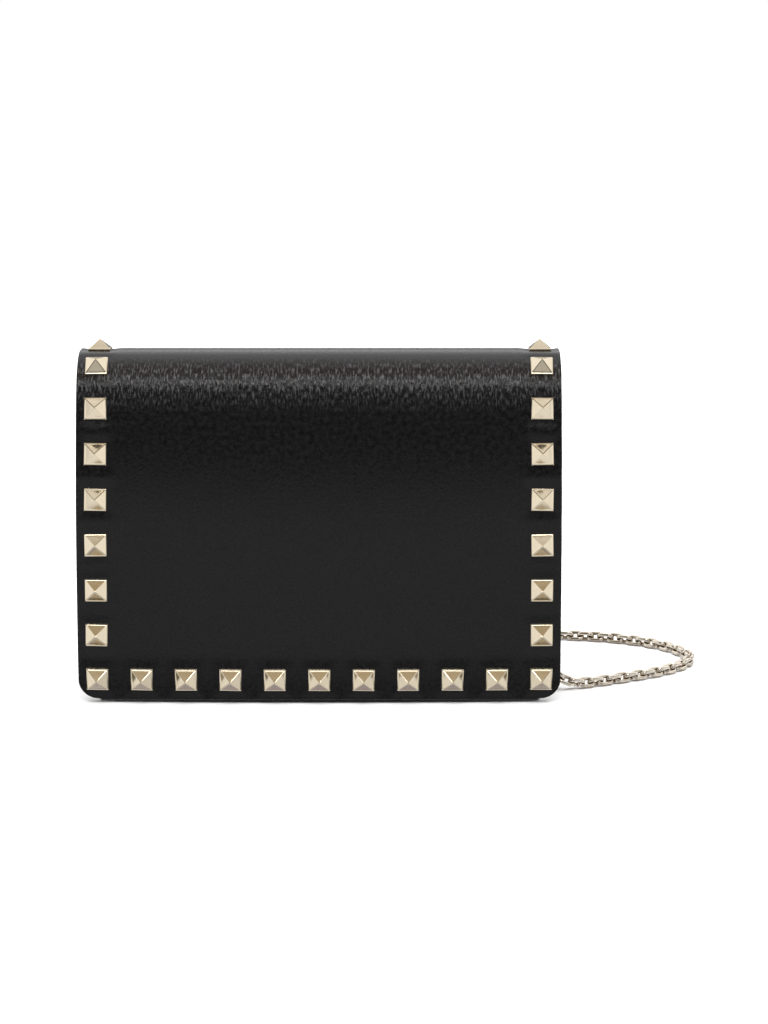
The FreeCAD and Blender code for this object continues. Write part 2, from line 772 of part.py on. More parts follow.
def make_rivet():
    middle = ("dims.strap_line", "dims.rivet_height")
    start = "dims.gusset_inset - dims.gusset_skin - dims.gusset_lining"
    post = rod("rivet_shank", "x", "dims.rivet_post",
               "dims.gusset_skin + dims.gusset_lining + 2 * dims.skin", (start, *middle))
    head = rod("rivet_cap", "x", "dims.rivet_head", "1", ("dims.gusset_inset + 2 * dims.skin", *middle))
    tail = rod("rivet_tail", "x", "dims.rivet_head", "0.7", (start + " - 0.7", *middle))
    right = keep(fuse("right_rivet", post, head, tail), "right_rivet")
    mirrored("left_rivet", right)


def make_d_ring():
    across = ("dims.ring_out", "dims.strap_line", "dims.ring_bar_height")
    bow = ring("ring_bow", "dims.ring_reach", "dims.ring_wire", across, HANGING, 180)
    bar = rod("ring_bar", "y", "dims.ring_wire", "2 * dims.ring_reach",
              ("dims.ring_out", "dims.strap_line - dims.ring_reach", "dims.ring_bar_height"))
    ends = []
    for number, sign in enumerate(("-", "+")):
        ball = doc.addObject("Part::Sphere", f"ring_corner_{number}")
        ball.setExpression("Radius", "dims.ring_wire")
        ball.setExpression("Placement.Base.x", "dims.ring_out")
        ball.setExpression("Placement.Base.y", f"dims.strap_line {sign} dims.ring_reach")
        ball.setExpression("Placement.Base.z", "dims.ring_bar_height")
        ends.append(ball)
    right = keep(fuse("right_d_ring", bow, bar, *ends), "right_d_ring")
    mirrored("left_d_ring", right)


def on_hook(angle):
    """A point on the hook's wire, as expressions for X and Z."""
    return (f"dims.hook_out + dims.hook_radius * cos({angle})",
            f"dims.hook_height + dims.hook_radius * sin({angle})")


def across_hook(name, radius, length, angle):
    x, z = on_hook(angle)
    return rod(name, "y", radius, length, (x, f"dims.strap_line - ({length}) / 2", z))


def make_clasp():
    """Lobster clasp: hooked frame with two cheeks, a sprung gate on a pin and a fixed eye below."""
    pivot, boss = -60, -82
    centre = ("dims.hook_out", "dims.strap_line", "dims.hook_height")
    bow = ring("hook_bow", "dims.hook_radius", "dims.hook_wire", centre, upright_from(40), 242)
    nose = ring("hook_nose", "dims.hook_radius", "dims.hook_wire", centre, upright_from(10), 30)
    reach = across_hook("nose_clearance", "7.3", "4", pivot)
    nose = cut("hook_nose_cut", nose, reach)
    seat = across_hook("hook_boss", "dims.cheek_radius", "dims.cheek_length", boss)
    cheeks = across_hook("hook_cheeks", "dims.cheek_radius", "dims.cheek_length", pivot)
    slot = across_hook("hook_slot", "dims.cheek_radius + 0.1", "dims.slot_length", pivot)
    pin_hole = across_hook("hook_pin_hole", "dims.gate_pin", "dims.cheek_length + 1", pivot)
    neck = rod("hook_neck", "z", "dims.cheek_radius - 0.4", "2.2",
               ("dims.hook_out", "dims.strap_line", "73.6"))
    neck_bore = rod("hook_neck_bore", "y", "dims.eye_radius - dims.eye_wire", "6",
                    ("dims.hook_out", "dims.strap_line - 3", "dims.eye_height"))
    eye = ring("hook_eye", "dims.eye_radius", "dims.eye_wire",
               ("dims.hook_out", "dims.strap_line", "dims.eye_height"), UPRIGHT)
    frame = cut("clasp_frame_blank", fuse("clasp_union", bow, seat, cheeks, neck, eye), slot)
    frame = cut("clasp_frame_bored", frame, fuse("clasp_holes", pin_hole, neck_bore))
    right = keep(fuse("right_clasp", frame, nose), "right_clasp")
    mirrored("left_clasp", right)

    lever = ring("gate_bow", "dims.hook_radius", "dims.gate_wire", centre, upright_from(pivot), 90)
    swing = across_hook("gate_swing", "7.1", "4", pivot)
    lever = common("gate_lever", lever, swing)
    x, z = on_hook(pivot)
    eye = rod("gate_eye", "y", "dims.cheek_radius - 0.2", "1.2", (x, "dims.strap_line - 1.1", z))
    relief = rod("gate_spring_relief", "y", "dims.cheek_radius - 0.4", "2", (x, "dims.strap_line + 0.1", z))
    bore = across_hook("gate_bore_hole", "dims.gate_bore", "6", pivot)
    gate = cut("gate_relieved", lever, relief)
    right = keep(cut("right_gate", fuse("gate_union", gate, eye), bore), "right_gate")
    mirrored("left_gate", right)

    pin = across_hook("right_gate_pin", "dims.gate_pin", "dims.cheek_length", pivot)
    mirrored("left_gate_pin", keep(pin, "right_gate_pin"))
    spring = rod("gate_spring_body", "y", "1.2", "0.8", (x, "dims.strap_line + 0.2", z))
    core = across_hook("gate_spring_core", "dims.gate_bore + 0.1", "6", pivot)
    mirrored("left_gate_spring", keep(cut("right_gate_spring", spring, core), "right_gate_spring"))


def make_jump_ring():
    link = ring("right_jump_ring", "dims.jump_radius", "dims.jump_wire",
                ("dims.hook_out", "dims.strap_line", "dims.jump_height"), HANGING)
    mirrored("left_jump_ring", keep(link, "right_jump_ring"))


# ---------------------------------------------------------------- chain

def bent_path(points):
    """Straight runs joined by tangent arcs, each as large as its two runs allow."""
    points = [V(*point) for point in points]
    edges, radii, start = [], [], points[0]
    for before, here, after in zip(points, points[1:], points[2:]):
        back, ahead = (before - here).normalize(), (after - here).normalize()
        turn = math.pi - back.getAngle(ahead)
        reach = 0.45 * min((here - before).Length, (after - here).Length)
        radius = reach / math.tan(turn / 2)
        first, last = here + back * reach, here + ahead * reach
        inwards = (back + ahead).normalize()
        centre = here + inwards * math.hypot(reach, radius)
        middle = centre - inwards * radius
        edges.append(Part.LineSegment(start, first).toShape())
        edges.append(Part.Arc(first, middle, last).toShape())
        radii.append(round(radius, 1))
        start = last
    edges.append(Part.LineSegment(start, points[-1]).toShape())
    return Part.Wire(edges), radii


def chain_strand(label, points):
    path, radii = bent_path(points)
    radius = size("chain_diameter") / 2
    heading = V(*points[1]) - V(*points[0])
    section = Part.Wire(Part.makeCircle(radius, V(*points[0]), heading))
    tube = path.makePipeShell([section], True, False)
    expected = math.pi * radius ** 2 * path.Length
    filled = round(tube.Volume / expected, 4)
    print(label, "length", round(path.Length, 1), "volume/expected", filled, "radii", radii)
    keep(shaped(label, tube), label)
    return path.Length


def make_chain():
    right = chain_strand("chain_strand_right", RIGHT_ROUTE)
    left = chain_strand("chain_strand_left", LEFT_ROUTE)
    middle = ("dims.coil_x", "dims.coil_y", "dims.coil_foot")
    tube_half = "dims.chain_diameter / 2"
    disc = rod("coil_disc", "z", f"dims.coil_outer + {tube_half}", "2 * dims.chain_diameter", middle)
    hole = rod("coil_hole", "z", f"dims.coil_inner - {tube_half}", "3 * dims.chain_diameter", middle)
    keep(cut("chain_coil", disc, hole), "chain_coil")
    wide = "dims.coil_outer - dims.coil_inner + dims.chain_diameter"
    start = "dims.coil_y - dims.coil_outer - dims.chain_diameter / 2"
    band = box("tie_band", ("dims.tie_width", wide + " + 2 * dims.tie_thick",
                            "2 * dims.chain_diameter + 2 * dims.tie_thick"),
               ("dims.coil_x - dims.tie_width / 2", start + " - dims.tie_thick", "0"))
    space = box("tie_space", ("2 * dims.tie_width", wide + " + 0.6", "2 * dims.chain_diameter"),
                ("dims.coil_x - dims.tie_width", start + " - 0.3", "dims.coil_foot"))
    keep(cut("coil_tie", band, space), "coil_tie")
    coil = size("coil_turns") * math.pi * (size("coil_inner") + size("coil_outer"))
    print("chain length", round(right + left + coil, 1), "of which coiled", round(coil, 1))


# ---------------------------------------------------------------- build, check and write

def check():
    for feature in doc.Objects:
        if "Invalid" in feature.State or "Error" in feature.State:
            raise RuntimeError(f"{feature.Label} failed: {feature.State}")
    for node in nodes:
        if node.Shape.isNull() or not node.Shape.isValid() or not node.Shape.Solids:
            raise RuntimeError(f"{node.Label} has no valid solid")


def main():
    make_flap()
    make_studs()
    make_snap()
    make_front()
    make_back()
    make_gussets()
    make_base()
    make_card_slots()
    make_zip_pocket()
    make_zip_teeth()
    make_zip_slider()
    make_tab()
    make_rivet()
    make_d_ring()
    make_clasp()
    make_jump_ring()
    make_chain()
    doc.recompute()
    check()
    os.makedirs("parts", exist_ok=True)
    for node in nodes:
        node.Shape.exportStep(f"parts/{node.Label}.step")
    print(len(nodes), "sub-parts")


main()
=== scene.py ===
import math
import random

import bmesh
import bpy
from mathutils import Matrix, Vector


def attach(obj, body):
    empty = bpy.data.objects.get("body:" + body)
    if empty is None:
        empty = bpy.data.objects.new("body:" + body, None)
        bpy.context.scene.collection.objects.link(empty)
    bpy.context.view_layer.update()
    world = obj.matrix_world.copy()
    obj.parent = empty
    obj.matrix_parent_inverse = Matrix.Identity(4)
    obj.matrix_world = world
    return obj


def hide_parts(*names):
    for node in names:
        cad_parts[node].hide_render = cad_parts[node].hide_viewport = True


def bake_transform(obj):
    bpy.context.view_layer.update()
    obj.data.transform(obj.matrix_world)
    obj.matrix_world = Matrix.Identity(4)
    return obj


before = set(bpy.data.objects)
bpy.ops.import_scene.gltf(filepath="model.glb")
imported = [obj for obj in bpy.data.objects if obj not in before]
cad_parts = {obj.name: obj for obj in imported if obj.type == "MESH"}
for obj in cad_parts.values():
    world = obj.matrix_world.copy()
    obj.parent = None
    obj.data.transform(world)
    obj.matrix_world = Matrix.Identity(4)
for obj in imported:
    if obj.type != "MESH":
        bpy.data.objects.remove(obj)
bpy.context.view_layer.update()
random.seed(7)

# ---------------------------------------------------------------- sizes, in metres

FRONT, BACK = -0.024, 0.024  # outer faces
TOP, HEM, FOOT = 0.144, 0.0017, 0.0003  # the crown, the flap's front edge and the body's lowest edge
STRAIGHT_TOP = 0.0484  # where the flap's front starts to lean back
CROWN_RADIUS, CROWN_FLAT, FOLD = 0.020, 0.008, 0.010
FLAP_HALF, BODY_HALF = 0.100, 0.0945
SEAM, INSET = 0.092, 0.080  # half widths at the gussets' seams and in the bottom of their pleats
CORNER = 0.008
SKIN, BOARD_THICK, LINING = 0.0012, 0.00098, 0.0006
FRONT_DEPTH, FRONT_TOP = 0.0050, 0.110  # the front panel lies this far behind the flap's line
LINING_FACE, LINING_FOOT = 0.019, 0.0024
GUSSET_TOP, HINGE_HEIGHT = 0.108, 0.128
SLIT_HALF, SLIT_LOW, SLIT_HIGH = 0.070, 0.0935, 0.1025  # the zip's slit in the back lining
STRAP_LINE = 0.004  # middle of the tabs, front to back
STUD_FIRST, STUD_SPAN, STUD_HALF, STUD_TALL = 0.0084, 0.184, 0.0046, 0.0044
STITCH_INSET, STITCH_LIFT = 0.0027, 0.0001

# The line of the outer skin: a straight front, a large and a small arc, a flat crown, the fold and the back.
CROWN = BACK - FOLD - CROWN_FLAT
REACH, RISE = CROWN - FRONT, TOP - STRAIGHT_TOP
LARGE = (REACH ** 2 + RISE ** 2 - 2 * RISE * CROWN_RADIUS) / (2 * (REACH - CROWN_RADIUS))
LEAN = math.atan2(RISE - CROWN_RADIUS, LARGE - REACH)
STRAIGHT = STRAIGHT_TOP - HEM
BROW_END = STRAIGHT + LARGE * LEAN + CROWN_RADIUS * (math.pi / 2 - LEAN)
CROWN_MIDDLE = BROW_END + CROWN_FLAT / 2
FOLD_START = BROW_END + CROWN_FLAT
BACK_START = FOLD_START + FOLD * math.pi / 2
WHOLE = BACK_START + TOP - FOLD - FOOT


# ---------------------------------------------------------------- camera, light and stage

CAMERA_TILT, CAMERA_DISTANCE = math.radians(9.3), 1.2
CAMERA_AIM_X, CAMERA_AIM_Z = 0.0268, 0.0804  # the point of the front's plane that it looks at


def make_camera():
    data = bpy.data.cameras.new("camera")
    data.lens, data.sensor_width = 102.7, 36.0
    camera = bpy.data.objects.new("camera", data)
    camera.location = (CAMERA_AIM_X, FRONT - CAMERA_DISTANCE * math.cos(CAMERA_TILT),
                       CAMERA_AIM_Z + CAMERA_DISTANCE * math.sin(CAMERA_TILT))
    camera.rotation_euler = (math.pi / 2 - CAMERA_TILT, 0, 0)
    bpy.context.collection.objects.link(camera)
    bpy.context.scene.camera = camera


def area_light(name, place, aim, size, power):
    data = bpy.data.lights.new(name, "AREA")
    data.shape, data.size, data.size_y = "RECTANGLE", size[0], size[1]
    data.energy = power
    light = bpy.data.objects.new(name, data)
    light.location = place
    light.rotation_euler = (Vector(aim) - Vector(place)).to_track_quat("-Z", "Y").to_euler()
    bpy.context.collection.objects.link(light)


def make_stage():
    """A pale level floor. Polished pieces mirror the studio and not the floor."""
    model = bmesh.new()
    bmesh.ops.create_grid(model, x_segments=8, y_segments=8, size=9.0)
    mesh = bpy.data.meshes.new("floor")
    model.to_mesh(mesh)
    model.free()
    floor = bpy.data.objects.new("floor", mesh)
    floor.visible_glossy = False
    bpy.context.collection.objects.link(floor)
    material, nodes, links, shader = new_material("studio_floor", (0.86, 0.86, 0.865), 0.7, specular=0.0)
    mottle = noise(nodes, links, coordinates(nodes, links, "Object", (1, 1, 1)), 3.0, 2)
    tone = mix_colours(nodes, links, mottle, (0.85, 0.85, 0.853), (0.87, 0.87, 0.872))
    links.new(tone, shader.inputs["Base Color"])
    mesh.materials.append(material)


def ramp(nodes, links, value, stops):
    """Colours at places from 0 to 1. Each stop is a place with one grey or with three colour values."""
    node = nodes.new("ShaderNodeValToRGB")
    points = node.color_ramp.elements
    while len(points) < len(stops):
        points.new(0.5)
    for point, (place, *colour) in zip(points, stops):
        point.position, point.color = place, (*(colour * 3 if len(colour) == 1 else colour), 1)
    links.new(value, node.inputs["Fac"])
    return node.outputs["Color"]


# The studio's walls as polished pieces mirror them, from straight below (0) to straight above (1).
FRONT_SKY = [
    (0.00, 0.12, 0.11, 0.13), (0.004, 0.26, 0.24, 0.27), (0.009, 0.82, 0.82, 0.85), (0.10, 0.85),
    (0.18, 0.60), (0.22, 0.10), (0.29, 0.10), (0.34, 0.42), (0.46, 0.46), (0.56, 0.50), (0.592, 0.02),
    (0.70, 0.02), (0.80, 0.25), (0.86, 0.90), (0.905, 0.92), (0.922, 0.42, 0.36, 0.27), (0.984, 0.37, 0.30, 0.20),
    (0.993, 0.60, 0.57, 0.53), (1.00, 0.80),
]
SIDE_SKY = [
    (0.00, 0.25), (0.03, 0.85), (0.18, 0.70), (0.22, 0.10), (0.29, 0.10), (0.34, 0.80), (0.44, 0.92),
    (0.64, 0.92), (0.68, 0.06), (0.78, 0.05), (0.85, 0.60), (1.00, 0.80),
]
BACK_SKY = [
    (0.00, 0.12, 0.11, 0.13), (0.03, 0.26, 0.24, 0.30), (0.06, 0.90), (0.45, 0.90), (0.48, 0.20),
    (0.56, 0.20), (0.62, 1.00), (0.97, 0.95), (1.00, 0.80),
]


def make_light():
    """An even top light, a strip over the camera, and a studio that differs by direction in the room."""
    sun = bpy.data.lights.new("light_top", "SUN")
    sun.energy, sun.angle = 4.3, math.radians(75)
    top = bpy.data.objects.new("light_top", sun)
    top.rotation_euler = (math.radians(8), 0, 0)
    top.visible_glossy = False
    bpy.context.collection.objects.link(top)
    area_light("light_strip", (0.0, -1.50, 1.48), (0, 0, 0.12), (1.6, 0.34), 7.5)
    world = bpy.data.worlds.new("studio")
    bpy.context.scene.world = world
    world.use_nodes = True
    nodes, links = world.node_tree.nodes, world.node_tree.links
    way, split = nodes.new("ShaderNodeTexCoord"), nodes.new("ShaderNodeSeparateXYZ")
    links.new(way.outputs["Generated"], split.inputs[0])
    height = mapped(nodes, links, split.outputs["Z"], -1, 1, 0, 1)
    front, side, back = (ramp(nodes, links, height, stops) for stops in (FRONT_SKY, SIDE_SKY, BACK_SKY))
    aside = mapped(nodes, links, combine(nodes, links, "ABSOLUTE", split.outputs["X"], 0), 0.45, 0.85, 0, 1)
    behind = mapped(nodes, links, split.outputs["Y"], -0.05, 0.35, 0, 1)
    around = blended(nodes, links, aside, front, side)
    around = blended(nodes, links, behind, around, back)
    seen = nodes.new("ShaderNodeLightPath")
    white = nodes.new("ShaderNodeRGB")
    white.outputs[0].default_value = (1, 1, 1, 1)
    links.new(blended(nodes, links, seen.outputs["Is Camera Ray"], around, white.outputs[0]),
              nodes["Background"].inputs["Color"])
    bpy.context.scene.view_settings.view_transform = "Standard"


# ---------------------------------------------------------------- material building blocks

def new_material(name, colour, roughness, metallic=0.0, specular=0.5, sheen=0.0):
    material = bpy.data.materials.new(name)
    material.use_nodes = True
    nodes, links = material.node_tree.nodes, material.node_tree.links
    shader = nodes["Principled BSDF"]
    shader.inputs["Base Color"].default_value = (*colour, 1)
    shader.inputs["Roughness"].default_value = roughness
    shader.inputs["Metallic"].default_value = metallic
    shader.inputs["Specular IOR Level"].default_value = specular
    shader.inputs["Sheen Weight"].default_value = sheen
    return material, nodes, links, shader


def coordinates(nodes, links, kind, scale):
    source, mapping = nodes.new("ShaderNodeTexCoord"), nodes.new("ShaderNodeMapping")
    mapping.inputs["Scale"].default_value = scale
    links.new(source.outputs[kind], mapping.inputs["Vector"])
    return mapping.outputs["Vector"]


def noise(nodes, links, vector, scale, detail):
    node = nodes.new("ShaderNodeTexNoise")
    node.inputs["Scale"].default_value, node.inputs["Detail"].default_value = scale, detail
    links.new(vector, node.inputs["Vector"])
    return node.outputs["Fac"]


def cells(nodes, links, vector, scale):
    node = nodes.new("ShaderNodeTexVoronoi")
    node.feature = "SMOOTH_F1"
    node.inputs["Scale"].default_value = scale
    links.new(vector, node.inputs["Vector"])
    return node.outputs["Distance"]


def waves(nodes, links, vector, scale, direction):
    node = nodes.new("ShaderNodeTexWave")
    node.bands_direction = direction
    node.inputs["Scale"].default_value = scale
    links.new(vector, node.inputs["Vector"])
    return node.outputs["Fac"]


def mapped(nodes, links, value, low, high, new_low, new_high):
    node = nodes.new("ShaderNodeMapRange")
    for key, number in (("From Min", low), ("From Max", high), ("To Min", new_low), ("To Max", new_high)):
        node.inputs[key].default_value = number
    links.new(value, node.inputs["Value"])
    return node.outputs["Result"]


def combine(nodes, links, kind, first, second):
    node = nodes.new("ShaderNodeMath")
    node.operation = kind
    links.new(first, node.inputs[0])
    if isinstance(second, (int, float)):
        node.inputs[1].default_value = second
    else:
        links.new(second, node.inputs[1])
    return node.outputs[0]


MIX_FIRST, MIX_SECOND, MIX_RESULT = 6, 7, 2  # the Mix node's sockets for colours


def mix_colours(nodes, links, value, first, second):
    """A mix of two plain colours."""
    node = nodes.new("ShaderNodeMix")
    node.data_type = "RGBA"
    links.new(value, node.inputs["Factor"])
    node.inputs[MIX_FIRST].default_value, node.inputs[MIX_SECOND].default_value = (*first, 1), (*second, 1)
    return node.outputs[MIX_RESULT]


def blended(nodes, links, value, first, second):
    """A mix of two other nodes' colours."""
    node = nodes.new("ShaderNodeMix")
    node.data_type = "RGBA"
    links.new(value, node.inputs["Factor"])
    links.new(first, node.inputs[MIX_FIRST])
    links.new(second, node.inputs[MIX_SECOND])
    return node.outputs[MIX_RESULT]


def bump(nodes, links, height, strength, distance, below=None):
    node = nodes.new("ShaderNodeBump")
    node.inputs["Strength"].default_value, node.inputs["Distance"].default_value = strength, distance
    links.new(height, node.inputs["Height"])
    if below is not None:
        links.new(below, node.inputs["Normal"])
    return node.outputs["Normal"]


CREASE_SHEEN_RISE, CREASE_SHEEN_FALL = (0.119, 0.132), (0.135, 0.146)  # where the crease bumps and the painted sheen lines come and go, from the hem
# Base colour of the painted sheen: pale lines along the crease crests over the crown, where its highlight falls.
PAINTED_SHEEN_TONE = (0.072, 0.070, 0.071)


def leather(name, dark, light, roughness, grain=0.25, creases_and_sheen=False):
    """Smooth calf: pores, soft rolling, mottled dye and, over the crown, bumped crease lines with a painted sheen
    of pale lines on them.
    """
    material, nodes, links, shader = new_material(name, light, roughness)
    place = coordinates(nodes, links, "UV", (1, 1, 1))
    dye = noise(nodes, links, place, 90, 4)
    colour = mix_colours(nodes, links, dye, dark, light)
    cloud = noise(nodes, links, place, 500, 4)
    shine = mapped(nodes, links, cloud, 0.3, 0.7, roughness - 0.07, roughness + 0.08)
    links.new(shine, shader.inputs["Roughness"])
    normal = bump(nodes, links, cells(nodes, links, place, 1100), grain, 0.00012)
    normal = bump(nodes, links, noise(nodes, links, place, 560, 3), 0.22, 0.00014, normal)
    if creases_and_sheen:
        fine = noise(nodes, links, coordinates(nodes, links, "UV", (1, 0.24, 1)), 1500, 2)
        long = noise(nodes, links, coordinates(nodes, links, "UV", (1, 0.4, 1)), 600, 2)
        split = nodes.new("ShaderNodeSeparateXYZ")
        links.new(place, split.inputs[0])
        rise = mapped(nodes, links, split.outputs["Y"], *CREASE_SHEEN_RISE, 0, 1)
        fall = mapped(nodes, links, split.outputs["Y"], *CREASE_SHEEN_FALL, 1, 0)
        band = combine(nodes, links, "MULTIPLY", rise, fall)
        lines = combine(nodes, links, "MULTIPLY", combine(nodes, links, "ADD", fine, long), band)
        normal = bump(nodes, links, lines, 1.0, 0.0004, normal)
        # Painted sheen: the base colour turns pale along the crests of the crease lines, inside the crown's
        # highlight band.
        pale = nodes.new("ShaderNodeRGB")
        pale.outputs[0].default_value = (*PAINTED_SHEEN_TONE, 1)
        sheen_crest = combine(nodes, links, "MULTIPLY", mapped(nodes, links, fine, 0.50, 0.68, 0, 1), band)
        colour = blended(nodes, links, sheen_crest, colour, pale.outputs[0])
    links.new(colour, shader.inputs["Base Color"])
    links.new(normal, shader.inputs["Normal"])
    return material


# Reach of the occlusion test for the painted shade in a metal's hollows.
SHADE_REACH = 0.0016


def metal(name, dark, light, roughness, hollow_shade=None):
    """Hand-polished plated metal: faint haze, fine rub marks and, if asked, painted shade in its hollows."""
    material, nodes, links, shader = new_material(name, light, roughness, metallic=1.0)
    place = coordinates(nodes, links, "Object", (1, 1, 1))
    haze = noise(nodes, links, place, 300, 3)
    colour = mix_colours(nodes, links, haze, dark, light)
    # Painted shade: where ambient occlusion finds the surface closed in, the base colour turns to the dark tone.
    if hollow_shade:
        closed, deep = nodes.new("ShaderNodeAmbientOcclusion"), nodes.new("ShaderNodeRGB")
        closed.inputs["Distance"].default_value = SHADE_REACH
        deep.outputs[0].default_value = (*hollow_shade, 1)
        shade_mask = mapped(nodes, links, closed.outputs["AO"], 0.40, 0.88, 1, 0)
        colour = blended(nodes, links, shade_mask, colour, deep.outputs[0])
    links.new(colour, shader.inputs["Base Color"])
    rub = noise(nodes, links, coordinates(nodes, links, "Object", (1, 0.15, 1)), 2400, 2)
    shine = mapped(nodes, links, rub, 0.25, 0.75, roughness - 0.05, roughness + 0.07)
    links.new(shine, shader.inputs["Roughness"])
    links.new(bump(nodes, links, rub, 0.06, 0.00003), shader.inputs["Normal"])
    return material


RIB_SCALE = 0.32  # a wave texture's scale for ribs a metre apart


def cloth(name, dark, light, pitch, kind="UV", sheen=0.15):
    """Fine woven textile: warp and weft ribs of one pitch, with uneven dye."""
    material, nodes, links, shader = new_material(name, light, 0.8, specular=0.25, sheen=sheen)
    place = coordinates(nodes, links, kind, (1, 1, 1))
    warp = waves(nodes, links, place, RIB_SCALE / pitch, "X")
    weft = waves(nodes, links, place, RIB_SCALE / pitch, "Y" if kind == "UV" else "Z")
    weave = combine(nodes, links, "MULTIPLY", warp, weft)
    dye = combine(nodes, links, "MULTIPLY", noise(nodes, links, place, 400, 3), weave)
    links.new(mix_colours(nodes, links, dye, dark, light), shader.inputs["Base Color"])
    links.new(mapped(nodes, links, weave, 0, 1, 0.88, 0.7), shader.inputs["Roughness"])
    links.new(bump(nodes, links, weave, 0.5, pitch * 0.3), shader.inputs["Normal"])
    return material


def edge_paint(name):
    """Burnished edge: darker, smoother, with layers of leather just showing."""
    material, nodes, links, shader = new_material(name, (0.012, 0.011, 0.012), 0.3, specular=0.4)
    place = coordinates(nodes, links, "Object", (1, 1, 1))
    layers = noise(nodes, links, place, 700, 2)
    tone = mix_colours(nodes, links, layers, (0.008, 0.008, 0.009), (0.022, 0.02, 0.02))
    links.new(tone, shader.inputs["Base Color"])
    links.new(bump(nodes, links, noise(nodes, links, place, 900, 2), 0.25, 0.0001), shader.inputs["Normal"])
    return material


def fibreboard(name):
    """Grey-brown stiffener with short fibres."""
    material, nodes, links, shader = new_material(name, (0.16, 0.13, 0.10), 0.9, specular=0.2)
    fibres = noise(nodes, links, coordinates(nodes, links, "Object", (1, 0.3, 1)), 1800, 4)
    tone = mix_colours(nodes, links, fibres, (0.10, 0.08, 0.06), (0.24, 0.20, 0.16))
    links.new(tone, shader.inputs["Base Color"])
    links.new(bump(nodes, links, fibres, 0.4, 0.0001), shader.inputs["Normal"])
    return material


BLACK, DEEP = (0.0033, 0.0027, 0.0032), (0.0016, 0.0013, 0.0016)
make_camera()
make_light()
make_stage()
# The flap's leather carries the crease bumps and the painted sheen over its crown.
FLAP_LEATHER = leather("calf_flap", DEEP, BLACK, 0.26, creases_and_sheen=True)
LEATHER = leather("calf_body", DEEP, BLACK, 0.32)
SIDE_LEATHER = leather("calf_soft", DEEP, BLACK, 0.38, grain=0.3)
EDGE = edge_paint("painted_edge")
LINING_CLOTH = cloth("twill_lining", (0.018, 0.018, 0.022), (0.055, 0.054, 0.060), 0.0005)
TAPE = cloth("zip_tape_weave", (0.012, 0.012, 0.013), (0.040, 0.040, 0.042), 0.0006, sheen=0.05)
THREAD = cloth("waxed_thread", (0.014, 0.014, 0.015), (0.036, 0.035, 0.037), 0.0003, "Object", sheen=0.05)
BOARD = fibreboard("fibreboard")
GOLD = metal("pale_gold", (0.85, 0.72, 0.52), (0.91, 0.80, 0.62), 0.17)
STUD_GOLD = metal("pale_gold_stud", (0.88, 0.76, 0.56), (0.93, 0.82, 0.63), 0.14)
# The chain's last colour is the dark tone of the painted shade between its links.
CHAIN_GOLD = metal("pale_gold_chain", (0.93, 0.83, 0.70), (0.98, 0.91, 0.79), 0.13, (0.24, 0.16, 0.10))
STEEL = metal("spring_steel", (0.45, 0.44, 0.43), (0.62, 0.61, 0.60), 0.28)


# ---------------------------------------------------------------- mesh building blocks

def soft_step(value):
    value = max(0.0, min(1.0, value))
    return value * value * (3 - 2 * value)


def add_object(name, mesh, body, slot, *materials):
    obj = bpy.data.objects.new(name, mesh)
    bpy.context.collection.objects.link(obj)
    for material in materials:
        mesh.materials.append(material)
    if body:
        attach(obj, body)
    return obj


def finished(obj):
    """The object with its modifiers worked into its mesh."""
    bpy.context.view_layer.update()
    shape = obj.evaluated_get(bpy.context.evaluated_depsgraph_get())
    mesh = bpy.data.meshes.new_from_object(shape)
    obj.modifiers.clear()
    obj.data = mesh
    mesh.polygons.foreach_set("use_smooth", [True] * len(mesh.polygons))
    return obj


def sheet(name, rows, thick, body, slot, face, edge, rim=0.0003):
    """A sheet of leather or cloth from rows of (point, u, v); it thickens away from its face."""
    wide = len(rows[0])
    vertices = [point for row in rows for point, u, v in row]
    faces = [(j * wide + i, j * wide + i + 1, (j + 1) * wide + i + 1, (j + 1) * wide + i)
             for j in range(len(rows) - 1) for i in range(wide - 1)]
    mesh = bpy.data.meshes.new(name)
    mesh.from_pydata(vertices, [], faces)
    flat = [(u, v) for row in rows for point, u, v in row]
    uv = mesh.uv_layers.new(name="sheet")
    for corner in mesh.loops:
        uv.data[corner.index].uv = flat[corner.vertex_index]
    obj = add_object(name, mesh, None, slot, face, edge)
    solid = obj.modifiers.new("thickness", "SOLIDIFY")
    solid.thickness, solid.offset, solid.material_offset_rim = thick, -1, 1
    if rim:
        bevel = obj.modifiers.new("rim", "BEVEL")
        bevel.width, bevel.segments = rim, 2
        bevel.limit_method, bevel.angle_limit = "ANGLE", math.radians(50)
    finished(obj)
    if body:
        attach(obj, body)
    return obj


def joined(name, master, places, body, slot, *materials):
    """Many copies of one small mesh in one object."""
    model = bmesh.new()
    for place in places:
        copy = master.copy()
        copy.transform(place)
        model.from_mesh(copy)
        bpy.data.meshes.remove(copy)
    mesh = bpy.data.meshes.new(name)
    model.to_mesh(mesh)
    model.free()
    return add_object(name, mesh, body, slot, *materials)


def frame_at(point, along, up):
    """A placement whose X runs along and whose Z is as near to up as it can be."""
    x = along.normalized()
    y = up.cross(x).normalized()
    z = x.cross(y)
    return Matrix.Translation(point) @ Matrix((x, y, z)).transposed().to_4x4()


def spread(first, last, step):
    """Evenly spaced numbers from first to last, at most a step apart."""
    count = max(1, math.ceil(abs(last - first) / step))
    return [first + (last - first) * k / count for k in range(count + 1)]


def across(half, count):
    """Places from half to -half in twice `count` steps."""
    return [half * (1 - k / count) for k in range(2 * count + 1)]


def outline_runs(loop):
    """Each point of a line in a plane, with the length run so far."""
    run, runs = 0.0, []
    for k, point in enumerate(loop):
        run += math.dist(loop[k - 1], point) if k else 0.0
        runs.append((*point, run))
    return runs


# ---------------------------------------------------------------- chain

